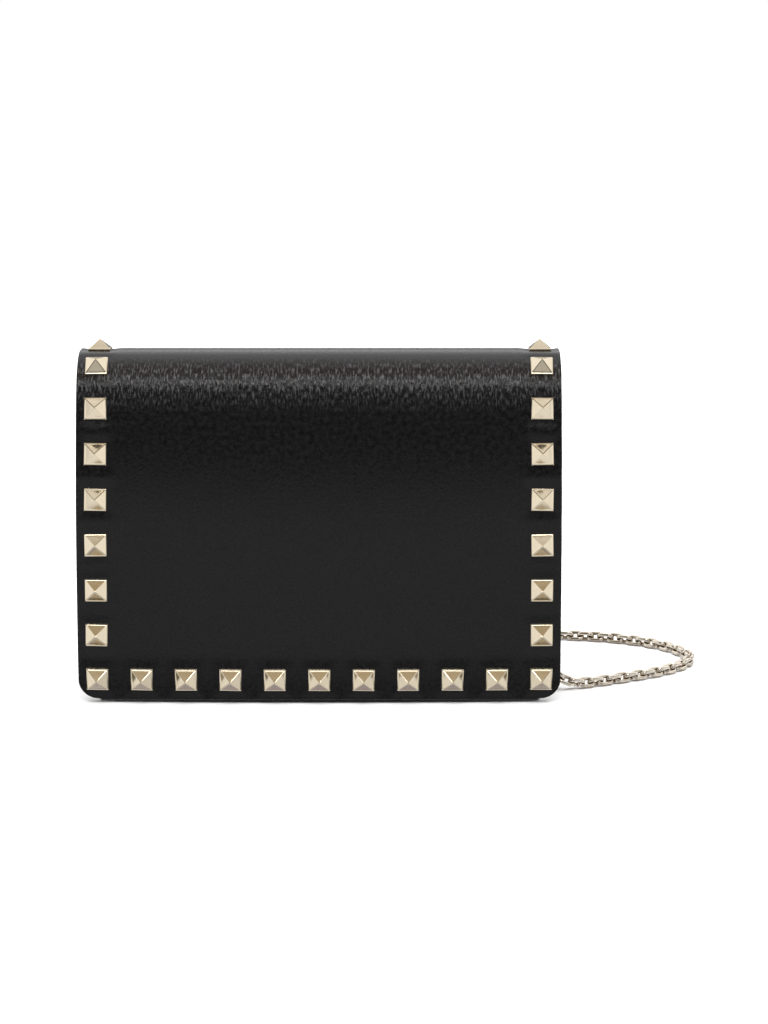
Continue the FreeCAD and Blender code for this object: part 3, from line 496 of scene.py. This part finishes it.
RIGHT_ROUTE = [
    (0.0871, 0.0040, 0.0665), (0.0873, 0.0042, 0.0480), (0.0882, 0.0040, 0.0310), (0.0912, 0.0030, 0.0175),
    (0.0972, 0.0014, 0.0080), (0.1060, 0.0014, 0.0026), (0.1175, 0.0070, 0.0023), (0.1316, 0.0162, 0.0023),
    (0.1463, 0.0270, 0.0023), (0.1572, 0.0396, 0.0023), (0.1628, 0.0546, 0.0023), (0.1592, 0.0700, 0.0023),
    (0.1520, 0.0826, 0.0023), (0.1394, 0.0936, 0.0023), (0.1222, 0.1014, 0.0023), (0.1030, 0.1048, 0.0023),
    (0.0830, 0.1048, 0.0023), (0.0620, 0.1018, 0.0024), (0.0420, 0.0960, 0.0028),
]
LEFT_ROUTE = [
    (-0.0020, 0.0570, 0.0077), (-0.0032, 0.0455, 0.0054), (-0.0130, 0.0355, 0.0025),
    (-0.0320, 0.0330, 0.0023), (-0.0540, 0.0355, 0.0023), (-0.0750, 0.0365, 0.0023),
    (-0.0930, 0.0340, 0.0023), (-0.1015, 0.0225, 0.0024), (-0.1000, 0.0085, 0.0045),
    (-0.0940, 0.0000, 0.0165), (-0.0890, 0.0025, 0.0330), (-0.0872, 0.0040, 0.0500),
    (-0.0871, 0.0041, 0.0665),
]
LINK_WIRE, LINK_HALF, LINK_STRAIGHT, LINK_PITCH = 0.00087, 0.00178, 0.00144, 0.00470


COIL_X, COIL_Y, COIL_RADIUS, COIL_LIFT = 0.030, 0.064, 0.032, 0.0028
COIL_STEP, COIL_TURNS = 0.005, 3.25  # one chain's width, and how many turns there are


def coil_points():
    """The put-away turns, counter-clockwise from above: out, in, up and out again."""
    per_turn, points = 16, []
    for number in range(int(COIL_TURNS * per_turn) + 1):
        turn = number / per_turn
        inner, outer = soft_step((turn - 0.85) / 0.18), soft_step((turn - 2.62) / 0.2)
        radius = COIL_RADIUS - COIL_STEP * inner + COIL_STEP * outer
        height = COIL_LIFT + COIL_STEP * soft_step((turn - 1.78) / 0.22)
        angle = math.pi / 2 + 2 * math.pi * turn
        points.append((COIL_X + radius * math.cos(angle), COIL_Y + radius * math.sin(angle), height))
    return points


def chain_line():
    """Points along the route's own smooth curve."""
    route = RIGHT_ROUTE + coil_points() + LEFT_ROUTE
    data = bpy.data.curves.new("chain_route", "CURVE")
    data.dimensions, data.resolution_u = "3D", 10
    spline = data.splines.new("NURBS")
    spline.points.add(len(route) - 1)
    for point, place in zip(spline.points, route):
        point.co = (*place, 1)
    spline.order_u = 3
    spline.use_endpoint_u = True
    curve = bpy.data.objects.new("chain_route", data)
    bpy.context.collection.objects.link(curve)
    bpy.context.view_layer.update()
    mesh = bpy.data.meshes.new_from_object(curve)
    points = [vertex.co.copy() for vertex in mesh.vertices]
    bpy.data.objects.remove(curve)
    return points


def link_mesh():
    """One oval link along X, its wire welded into a closed loop."""
    line = []
    for side in (1, -1):
        for step in range(11):
            angle = math.pi * step / 10 - math.pi / 2
            x, y = LINK_STRAIGHT + LINK_HALF * math.cos(angle), LINK_HALF * math.sin(angle)
            line.append((side * x, side * y))
    around, vertices = 10, []
    for k, (x, y) in enumerate(line):
        before, after = Vector(line[k - 1]), Vector(line[(k + 1) % len(line)])
        out = (after - before).normalized()
        out = Vector((out.y, -out.x))
        for step in range(around):
            angle = 2 * math.pi * step / around
            shift = LINK_WIRE * math.cos(angle)
            vertices.append((x + out.x * shift, y + out.y * shift, LINK_WIRE * math.sin(angle)))
    count = len(line)
    faces = [(k * around + s, ((k + 1) % count) * around + s,
              ((k + 1) % count) * around + (s + 1) % around, k * around + (s + 1) % around)
             for k in range(count) for s in range(around)]
    mesh = bpy.data.meshes.new("link")
    mesh.from_pydata(vertices, [], faces)
    mesh.polygons.foreach_set("use_smooth", [True] * len(mesh.polygons))
    return mesh


def link_places(points):
    """Places a pitch apart along the line, rolled one way and the other by turns."""
    lengths = [0.0]
    for a, b in zip(points, points[1:]):
        lengths.append(lengths[-1] + (b - a).length)
    count = round(lengths[-1] / LINK_PITCH)
    places, segment, up = [], 0, Vector((0, 1, 0))
    for number in range(count):
        target = (number + 0.5) * lengths[-1] / count
        while lengths[segment + 1] < target:
            segment += 1
        share = (target - lengths[segment]) / (lengths[segment + 1] - lengths[segment])
        here = points[segment].lerp(points[segment + 1], share)
        along = (points[min(segment + 2, len(points) - 1)] - points[max(segment - 1, 0)]).normalized()
        up = (up - along * up.dot(along)).normalized()
        roll = math.radians((45 if number % 2 else -45) + random.uniform(-6, 6))
        places.append(frame_at(here, along, up) @ Matrix.Rotation(roll, 4, "X"))
    return places, lengths[-1]


def make_chain():
    line = chain_line()
    places, length = link_places(line)
    print("chain line", round(length, 4), "links", len(places))
    chain = joined("chain_links", link_mesh(), places, "pouch", "gold_metal", CHAIN_GOLD)
    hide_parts("chain_strand_right", "chain_coil", "chain_strand_left")
    return chain, line


def make_tie():
    """A soft leather tie round the coil's inner side."""
    half, bend = 0.003, 0.0016
    low, high, near, far = 0.0004, 0.0104, 0.0291, 0.0398
    loop = []
    for y, z, start in ((far, low, -90), (far, high, 0), (near, high, 90), (near, low, 180)):
        middle_y, middle_z = y - bend if y == far else y + bend, z + bend if z == low else z - bend
        for turn in (math.radians(start + a) for a in range(0, 91, 15)):
            loop.append((middle_y + bend * math.cos(turn), middle_z + bend * math.sin(turn)))
    loop.append(loop[0])
    rows = [[(Vector((COIL_X + x, y, z)), x, run) for x in spread(half, -half, 0.001)]
            for y, z, run in outline_runs(loop)]
    tie = sheet("coil_strap", rows, 0.0005, "pouch", "tie_strap", SIDE_LEATHER, EDGE, rim=0.0001)
    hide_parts("coil_tie")
    return tie


# ---------------------------------------------------------------- the wrapped leather

def skin(q):
    """Y, Z and turn of the outer skin, q metres from the flap's edge. Turn is 0 in front, pi behind."""
    if q < STRAIGHT:
        return FRONT, HEM + q, 0.0
    q -= STRAIGHT
    if q < LARGE * LEAN:
        turn = q / LARGE
        return FRONT + LARGE * (1 - math.cos(turn)), STRAIGHT_TOP + LARGE * math.sin(turn), turn
    q -= LARGE * LEAN
    if q < CROWN_RADIUS * (math.pi / 2 - LEAN):
        turn = LEAN + q / CROWN_RADIUS
        return CROWN - CROWN_RADIUS * math.cos(turn), TOP - CROWN_RADIUS * (1 - math.sin(turn)), turn
    q -= CROWN_RADIUS * (math.pi / 2 - LEAN)
    if q < CROWN_FLAT:
        return CROWN + q, TOP, math.pi / 2
    q -= CROWN_FLAT
    if q < FOLD * math.pi / 2:
        turn = q / FOLD
        return BACK - FOLD * (1 - math.sin(turn)), TOP - FOLD * (1 - math.cos(turn)), math.pi / 2 + turn
    return BACK, TOP - FOLD - (q - FOLD * math.pi / 2), math.pi


def swell(x, q):
    """How far the flap stands proud of its plain line: full in the middle, curled in at its edge."""
    across = 1 - min(1.0, abs(x) / FLAP_HALF) ** 2.2
    full = 0.0026 * across * math.exp(-(q / 0.055) ** 2)
    curl = -0.0019 * max(0.0, 1 - q / 0.024) ** 2
    return full + curl if q < 0.2 else 0.0


def on_leather(x, q, depth=0.0, extra=0.0):
    """A point of the wrap, so deep under its outer face."""
    y, z, turn = skin(q)
    out = swell(x, q) + extra - depth
    return Vector((x, y - math.cos(turn) * out, z + math.sin(turn) * out))


def stud_spots():
    """(node, x, q) of every stud, as the CAD spaces them."""
    half, spots = STUD_SPAN / 2, []
    for number in range(11):
        spots.append(("studs_bottom_row", number * half / 5 - half, STUD_FIRST))
    for step in range(1, 8):
        along = STUD_FIRST + step * (CROWN_MIDDLE - STUD_FIRST) / 8
        spots += [("studs_left_column", -half, along), ("studs_right_column", half, along)]
    return spots + [("studs_crown", -half, CROWN_MIDDLE), ("studs_crown", half, CROWN_MIDDLE)]


STUD_SPOTS = stud_spots()


def dimple(x, q):
    """The leather is drawn down a little round each stud's prongs."""
    if q > CROWN_MIDDLE + 0.02 or (abs(x) < 0.078 and q > 0.022):
        return 0.0
    total = 0.0
    for node, stud_x, stud_q in STUD_SPOTS:
        away = max(abs(x - stud_x), abs(q - stud_q))
        if away < 0.012:
            total -= 0.00042 * (1 - soft_step((away - 0.0042) / 0.0048))
    return total


def rounded_half(half, past):
    """Half width where the corner is rounded, `past` metres in from the end."""
    if past >= CORNER:
        return half
    return half - CORNER + math.sqrt(max(0.0, CORNER ** 2 - (CORNER - past) ** 2))


def corner_stations(first, last, step):
    """Places from first to last, close together where a corner turns at each end."""
    turns = [CORNER * (1 - math.cos(math.pi / 2 * k / 9)) for k in range(9)]
    middle = spread(first + CORNER, last - CORNER, step)
    return [first + t for t in turns] + middle + [last - t for t in reversed(turns)]


def stations_to(first, last, step):
    """Places from first to last where only the first end has a rounded corner."""
    return [q for q in corner_stations(first, last + CORNER, step) if q <= last]


def wrap_half(q):
    """Half width of the one piece that is the back, the fold and the flap."""
    if q < BACK_START:
        return rounded_half(FLAP_HALF, q)
    height = skin(q)[1]
    half = BODY_HALF + (FLAP_HALF - BODY_HALF) * soft_step((height - 0.093) / 0.026)
    return rounded_half(half, WHOLE - q)


def make_wrap():
    rows = []
    for q in corner_stations(0.0, WHOLE, 0.0019):
        rows.append([(on_leather(x, q, extra=dimple(x, q)), x, q) for x in across(wrap_half(q), 56)])
    wrap = sheet("flap_and_back_leather", rows[::-1], SKIN, None, "black_leather", FLAP_LEATHER, EDGE, 0.0004)
    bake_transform(wrap)
    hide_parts("flap_skin", "back_panel")


LAYER_INSET = 0.0005  # the flap's board and lining stop this far short of its edge
LINING_DEPTH, LINING_END = 0.0022, 0.1092  # depth under the leather's face, height where it ends inside
BOARD_STEP = 0.1095  # the back's board is narrower below this height


def make_boards():
    """The stiffeners laminated between leather and lining, their edges painted with the rest."""
    rows = []
    for q in stations_to(LAYER_INSET, FOLD_START + 0.004, 0.003):
        half = rounded_half(FLAP_HALF - LAYER_INSET, q - 0.0003)
        rows.append([(on_leather(x, q, SKIN), x, q) for x in across(half, 30)])
    board = sheet("flap_stiffener", rows[::-1], BOARD_THICK, None, "stiffener", BOARD, EDGE, rim=0)
    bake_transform(board)
    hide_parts("flap_board")
    rows = []
    for z in spread(0.0013, 0.1093, 0.006) + spread(0.1098, 0.126, 0.004):
        half = 0.0894 if z < BOARD_STEP else wrap_half(BACK_START + TOP - FOLD - z) - 0.0006
        rows.append([(Vector((x, BACK - SKIN, z)), x, z) for x in across(half, 20)])
    board = sheet("back_stiffener", rows, BOARD_THICK, "pouch", "stiffener", BOARD, EDGE, rim=0)
    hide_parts("back_board")


def make_flap_lining():
    """Lining of the flap, from its edge over the fold and down behind the pocket."""
    rows = []
    for q in stations_to(0.0008, BACK_START + TOP - FOLD - LINING_END, 0.003):
        if q < FOLD_START:
            half = rounded_half(FLAP_HALF - LAYER_INSET, q - 0.0003)
        else:
            half = wrap_half(q) - LAYER_INSET
        rows.append([(on_leather(x, q, LINING_DEPTH), x, q) for x in across(half, 30)])
    lining = sheet("flap_lining_cloth", rows[::-1], LINING, None, "lining", LINING_CLOTH, EDGE, rim=0.0001)
    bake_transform(lining)
    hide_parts("flap_lining")
    return lining


# ---------------------------------------------------------------- studs

def stud_mesh():
    """A four-sided pyramid with a thin rim, softened ridges and a skirt that sits in the leather."""
    model = bmesh.new()
    foot, tip, rise = STUD_HALF - 0.00034, 0.00012, STUD_TALL - 0.00058
    rings = [(STUD_HALF - 0.0002, -0.0009), (STUD_HALF, 0.00025), (STUD_HALF - 0.00008, 0.00050)]
    rings += [(foot + (tip - foot) * k / 5, 0.00058 + rise * k / 5 + 0.00005 * math.sin(math.pi * k / 5))
              for k in range(6)]
    loops = [[model.verts.new((sx * half, sy * half, z)) for sx, sy in ((-1, -1), (1, -1), (1, 1), (-1, 1))]
             for half, z in rings]
    for low, high in zip(loops, loops[1:]):
        for k in range(4):
            model.faces.new((low[k], low[(k + 1) % 4], high[(k + 1) % 4], high[k]))
    model.faces.new(loops[-1])
    model.faces.new(loops[0][::-1])
    model.normal_update()
    ridges = [edge for edge in model.edges
              if edge.calc_face_angle(0) > 0.3 and max(v.co.z for v in edge.verts) > 0.0003]
    bmesh.ops.bevel(model, geom=ridges, offset=0.00022, segments=2, profile=0.5, affect="EDGES")
    mesh = bpy.data.meshes.new("stud")
    model.to_mesh(mesh)
    model.free()
    mesh.polygons.foreach_set("use_smooth", [True] * len(mesh.polygons))
    mesh.set_sharp_from_angle(angle=math.radians(12))
    return mesh


def stud_place(x, q):
    """Where a stud sits: on the leather, square to it."""
    here = on_leather(x, q)
    along = on_leather(x + 0.002, q) - on_leather(x - 0.002, q)
    rise = on_leather(x, q + 0.002) - on_leather(x, q - 0.002)
    out = along.cross(rise).normalized()
    across = along.normalized()
    spin = Matrix((across, out.cross(across), out)).transposed().to_4x4()
    return Matrix.Translation(here) @ spin


def make_studs():
    master = stud_mesh()
    for node in ("studs_bottom_row", "studs_left_column", "studs_right_column", "studs_crown"):
        places = [stud_place(x, q) @ Matrix.Rotation(random.uniform(-0.02, 0.02), 4, "Z")
                  for owner, x, q in STUD_SPOTS if owner == node]
        name = node.replace("studs", "pyramid_studs")
        studs = joined(name, master, places, "flap", "gold_metal", STUD_GOLD)
        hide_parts(node)


# ---------------------------------------------------------------- stitching

def thread_mesh(length=0.0025, radius=0.00026):
    model = bmesh.new()
    bmesh.ops.create_uvsphere(model, u_segments=8, v_segments=6, radius=1.0)
    for vertex in model.verts:
        vertex.co = Vector((vertex.co.z * length / 2, vertex.co.y * radius, vertex.co.x * radius))
    for face in model.faces:
        face.smooth = True
    mesh = bpy.data.meshes.new("thread")
    model.to_mesh(mesh)
    model.free()
    return mesh


def stitches(name, lines, body, pitch=0.0033):
    """Rows of stitches; each line is a list of (point, outward normal) close together."""
    places = []
    for line in lines:
        due = pitch / 2
        for (a, out), (b, after) in zip(line, line[1:]):
            run = (b - a).length
            while due < run:
                places.append(frame_at(a.lerp(b, due / run), (b - a).normalized(), out))
                due += pitch
            due -= run
    return joined(name, thread_mesh(), places, body, "black_leather", THREAD)


def corner_run(side, y):
    """Points of a row of stitches round a bottom corner and on to the middle of the foot."""
    reach = CORNER - STITCH_INSET
    turns = [math.pi / 2 * step / 9 for step in range(1, 10)]
    points = [Vector((side * (BODY_HALF - CORNER + reach * math.cos(turn)), y,
                      FOOT + CORNER - reach * math.sin(turn))) for turn in turns]
    return points + [Vector((side * 0.0008, y, FOOT + STITCH_INSET))]


def back_stitches():
    """One row inside the sides and foot of the back, well below the hinge."""
    out, lines = Vector((0, 1, 0)), []
    for side in (1, -1):
        line = []
        for z in spread(0.116, CORNER, 0.004):
            half = wrap_half(BACK_START + TOP - FOLD - z) - STITCH_INSET
            line.append((Vector((side * half, BACK + STITCH_LIFT, z)), out))
        lines.append(line + [(point, out) for point in corner_run(side, BACK + STITCH_LIFT)])
    stitches("back_stitching", lines, "pouch")


# ---------------------------------------------------------------- front panel

def front_at(x, q, depth=FRONT_DEPTH):
    """A point on a layer of the front, so deep under the flap's line."""
    y, z, turn = skin(q)
    return Vector((x, y + math.cos(turn) * depth, z - math.sin(turn) * depth))


def front_q(height, depth=FRONT_DEPTH):
    """Distance along the line at which a front layer reaches a height."""
    if height <= STRAIGHT_TOP:
        return height - HEM
    return STRAIGHT + LARGE * math.asin((height - STRAIGHT_TOP) / (LARGE - depth))


TURN_IN = 0.0014  # radius of the front's turned-in top edge
FRONT_LAST = front_q(FRONT_TOP - TURN_IN)


def make_front():
    """Front panel, its top edge turned over the board and down inside, and its lining."""
    low, rows = front_q(FOOT), []
    for q in stations_to(low, FRONT_LAST, 0.004):
        rows.append([(front_at(x, q), x, q) for x in across(rounded_half(BODY_HALF, q - low), 40)])
    turn = skin(FRONT_LAST)[2]
    middle = front_at(0, FRONT_LAST, FRONT_DEPTH + TURN_IN)
    for step in range(1, 13):
        angle = math.pi * step / 12
        way_y = -math.cos(turn) * math.cos(angle) + math.sin(turn) * math.sin(angle)
        way_z = math.sin(turn) * math.cos(angle) + math.cos(turn) * math.sin(angle)
        rows.append([(Vector((x, middle.y + way_y * TURN_IN, middle.z + way_z * TURN_IN)),
                      x, FRONT_LAST + TURN_IN * angle) for x in across(BODY_HALF, 40)])
    for step in range(1, 5):
        rows.append([(front_at(x, FRONT_LAST - 0.003 * step, FRONT_DEPTH + 2 * TURN_IN),
                      x, FRONT_LAST + 0.0044 + 0.003 * step) for x in across(SEAM - 0.0045, 40)])
    panel = sheet("front_leather", rows[::-1], SKIN, "pouch", "black_leather", LEATHER, EDGE)
    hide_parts("front_panel")
    rows = []
    for q in spread(front_q(LINING_FOOT), FRONT_LAST - 0.0118, 0.004):
        rows.append([(front_at(x, q, 0.0072), x, q) for x in spread(SEAM - 0.0045, 0.0045 - SEAM, 0.005)])
    lining = sheet("front_lining_cloth", rows[::-1], LINING, "pouch", "lining",
                   LINING_CLOTH, LINING_CLOTH, rim=0.0001)
    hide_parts("front_lining")
    front_stitches(low)
    return lining


def front_stitches(low):
    """A row inside the sides and foot of the front and one along its top."""
    depth, foot_y, lines = FRONT_DEPTH - STITCH_LIFT, FRONT + FRONT_DEPTH - STITCH_LIFT, []
    for side in (1, -1):
        line = [(front_at(side * (BODY_HALF - STITCH_INSET), q, depth), Vector((0, -1, 0.1)))
                for q in spread(FRONT_LAST - 0.003, low + CORNER, 0.004)]
        lines.append(line + [(point, Vector((0, -1, 0))) for point in corner_run(side, foot_y)])
    lines.append([(front_at(x, FRONT_LAST - 0.0016, depth), Vector((0, -1, 0.2)))
                  for x in spread(0.0905, -0.0905, 0.004)])
    stitches("front_stitching", lines, "pouch")


# ---------------------------------------------------------------- gussets and base

def pleat(share):
    """0 at the seams and 1 in the bottom of the pleat."""
    return soft_step(min(share, 1 - share) / 0.37)


def side_at(share, height, under, inwards):
    """A point of the right side wall, from the front seam to the back one."""
    front = front_at(0, front_q(max(height, FOOT)), FRONT_DEPTH + SKIN + inwards).y
    back = BACK - SKIN - inwards
    sag = 0.0012 * math.sin(math.pi * min(1.0, height / GUSSET_TOP)) * pleat(share)
    x = SEAM - under - (SEAM - INSET) * pleat(share) + sag
    return Vector((x, front + (back - front) * share, height))


def make_gussets():
    """Both side walls: leather, and lining under it."""
    linings = []
    for side, name in ((1, "right"), (-1, "left")):
        for part, lined, under, thick, foot, inwards in (
                ("gusset", False, 0, 0.0010, FOOT, 0.00005),
                ("gusset_lining", True, 0.0010, 0.0005, 0.0028, 0.00105)):
            rows = []
            for height in spread(foot, GUSSET_TOP, 0.005):
                row = []
                for share in (k / 36 for k in range(37)):
                    point = side_at(share, height, under, inwards)
                    dip = 0.0026 * pleat(share) * soft_step((height - 0.090) / 0.018)
                    row.append((Vector((side * point.x, point.y, point.z - dip)), point.y, height))
                rows.append(row if side > 0 else row[::-1])
            if lined:
                piece = sheet(f"{name}_{part}_cloth", rows, thick, "pouch", "lining",
                              LINING_CLOTH, LINING_CLOTH, rim=0.0001)
                linings.append(piece)
            else:
                piece = sheet(f"{name}_{part}_leather", rows, thick, "pouch", "black_leather",
                              SIDE_LEATHER, EDGE, rim=0.0003)
            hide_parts(f"{name}_{part}")
    return linings


def make_base():
    """Base leather and its lining, cut to the pleats."""
    pieces = []
    for name, height, thick, under, inwards, back, slot, face in (
            ("base_leather", SKIN, SKIN, 0.0010, 0, BACK - SKIN, "black_leather", LEATHER),
            ("base_lining_cloth", 0.0028, LINING, 0.0016, 0.0016, LINING_FACE, "lining", LINING_CLOTH)):
        front, rows = FRONT + FRONT_DEPTH + SKIN + inwards, []
        for y in spread(front, back, 0.0012):
            share = (y - (FRONT + FRONT_DEPTH + SKIN)) / (BACK - 2 * SKIN - FRONT - FRONT_DEPTH)
            half = SEAM - under - (SEAM - INSET) * pleat(max(0.0, min(1.0, share)))
            rows.append([(Vector((x, y, height)), x, y) for x in (half * (k / 30 - 1) for k in range(61))])
        pieces.append(sheet(name, rows, thick, "pouch", slot, face, EDGE if slot == "black_leather" else face,
                            rim=0.0001))
    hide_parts("base_panel")
    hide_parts("base_lining")
    return pieces[1]


# ---------------------------------------------------------------- inside

CARD_HALF, CARD_TOP, CARD_FOOT, CARD_STEP = 0.047, 0.056, 0.006, 0.009


def make_cards():
    """Three stepped card slots with a creased top edge and stitched sides."""
    face = front_at(0, front_q(CARD_TOP), 0.0078).y + 0.00002
    lines = []
    for number, name in enumerate(("card_slot_back", "card_slot_middle", "card_slot_front")):
        y, top = face + 0.0008 * (number + 1), CARD_TOP - CARD_STEP * number
        rows = []
        for z in spread(CARD_FOOT, top, 0.0015):
            past = top - z
            crease = -0.00018 * math.exp(-((past - 0.0022) / 0.0004) ** 2)
            half = rounded_half(CARD_HALF, past * 2.4)
            rows.append([(Vector((x, y + crease, z)), x, z) for x in across(half, 24)])
        panel = sheet(name + "_leather", rows, 0.0008, "pouch", "black_leather", SIDE_LEATHER, EDGE, 0.0002)
        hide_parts(name)
        foot = top - 0.0085 if number < 2 else 0.0075
        for side in (1, -1):
            lines.append([(Vector((side * 0.0453, y + STITCH_LIFT, z)), Vector((0, 1, 0)))
                          for z in spread(top - 0.0035, foot, 0.003)])
    stitches("card_stitching", lines, "pouch", pitch=0.0026)


def make_back_lining():
    """Lining of the back with the zip's slit in it, as one joined grid."""
    half = SEAM - 0.0057
    xs = [-half, -SLIT_HALF, SLIT_HALF, half]
    zs = [LINING_FOOT, SLIT_LOW, SLIT_HIGH, HINGE_HEIGHT - 0.002]
    columns = sorted({round(x, 6) for a, b in zip(xs, xs[1:]) for x in spread(a, b, 0.005)})
    levels = sorted({round(z, 6) for a, b in zip(zs, zs[1:]) for z in spread(a, b, 0.005)})
    model = bmesh.new()
    uv = model.loops.layers.uv.new("sheet")
    grid = {(x, z): model.verts.new((x, LINING_FACE, z)) for x in columns for z in levels}
    for x0, x1 in zip(columns, columns[1:]):
        for z0, z1 in zip(levels, levels[1:]):
            if abs(x0 + x1) / 2 < SLIT_HALF and SLIT_LOW < (z0 + z1) / 2 < SLIT_HIGH:
                continue
            quad = model.faces.new([grid[key] for key in ((x0, z0), (x1, z0), (x1, z1), (x0, z1))])
            for corner in quad.loops:
                corner[uv].uv = (corner.vert.co.x, corner.vert.co.z)
    bmesh.ops.delete(model, geom=[v for v in model.verts if not v.link_faces], context="VERTS")
    mesh = bpy.data.meshes.new("back_lining_cloth")
    model.to_mesh(mesh)
    model.free()
    lining = add_object("back_lining_cloth", mesh, None, "lining", LINING_CLOTH)
    solid = lining.modifiers.new("thickness", "SOLIDIFY")
    solid.thickness, solid.offset = LINING, -1
    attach(finished(lining), "pouch")
    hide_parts("back_lining")
    return lining


def make_tapes():
    """The zip's two woven tapes, just behind the lining's face."""
    for name, low in (("zip_tape_upper", 0.0985), ("zip_tape_lower", 0.0909)):
        rows = [[(Vector((x, 0.0196, z)), x, z) for x in spread(-0.0729, 0.0729, 0.004)]
                for z in spread(low, low + 0.0066, 0.0011)]
        tape = sheet(name + "_woven", rows, 0.0004, "pouch", "zip_tape", TAPE, TAPE, rim=0)
        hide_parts(name)


BAR_X, BAR_Z, BAR_LOOP, TAB_HALF = 0.0864, 0.0915, 0.0024, 0.0058  # the D-ring's bar, and the tab round it


def make_tabs():
    """Doubled leather tabs round the D-rings' bars, with a stitched edge."""
    outer, inner = INSET + 0.0024, INSET + 0.0001
    loop = [(outer, 0.1058), (outer, 0.1030), (outer + 0.0003, 0.0995)]
    loop += [(BAR_X + BAR_LOOP * math.cos(a), BAR_Z + BAR_LOOP * math.sin(a))
             for a in (math.radians(60 - 18 * k) for k in range(14))]
    loop += [(inner + 0.0008, 0.0975), (inner, 0.1000), (inner, 0.1058)]
    lines = []
    for side, name in ((1, "right"), (-1, "left")):
        rows = []
        for x, z, run in outline_runs(loop):
            row = [(Vector((side * x, STRAP_LINE + y, z)), y, run) for y in across(TAB_HALF, 6)]
            rows.append(row if side > 0 else row[::-1])
        tab = sheet(name + "_tab_leather", rows, SKIN - 0.0001, "pouch", "black_leather", SIDE_LEATHER, EDGE)
        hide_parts(name + "_tab")
        for edge in (1, -1):
            x, y = side * (outer + STITCH_LIFT), STRAP_LINE + edge * 0.0046
            lines.append([(Vector((x, y, z)), Vector((side, 0, 0))) for z in spread(0.1052, 0.1002, 0.0025)])
    stitches("tab_stitching", lines, "pouch", pitch=0.0024)


# ---------------------------------------------------------------- build

def paint_nodes():
    """Materials for the CAD pieces that are kept as they are."""
    gold = ["snap_cap", "snap_base", "zip_teeth_upper", "zip_teeth_lower", "zip_stops", "zip_slider",
            "zip_pull"]
    gold += [side + part for side in ("right_", "left_")
             for part in ("rivet", "d_ring", "clasp", "gate", "gate_pin", "jump_ring")]
    finish = {name: GOLD for name in gold}
    finish.update({name: BOARD for name in ("front_board", "base_board")})
    finish.update({name: STEEL for name in ("snap_cap_washer", "snap_base_washer",
                                            "right_gate_spring", "left_gate_spring")})
    finish["pocket_bag"] = POCKET_CLOTH
    for name, material in finish.items():
        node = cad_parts[name]
        node.data.materials.clear()
        node.data.materials.append(material)


POCKET_CLOTH = cloth("pocket_cotton", (0.020, 0.020, 0.023), (0.050, 0.049, 0.053), 0.0005, kind="Object")
make_wrap()
make_boards()
flap_cloth = make_flap_lining()
make_studs()
back_stitches()
front_cloth = make_front()
gusset_cloth = make_gussets()
base_cloth = make_base()
make_cards()
back_cloth = make_back_lining()
make_tapes()
make_tabs()
paint_nodes()
chain, chain_path = make_chain()
make_tie()
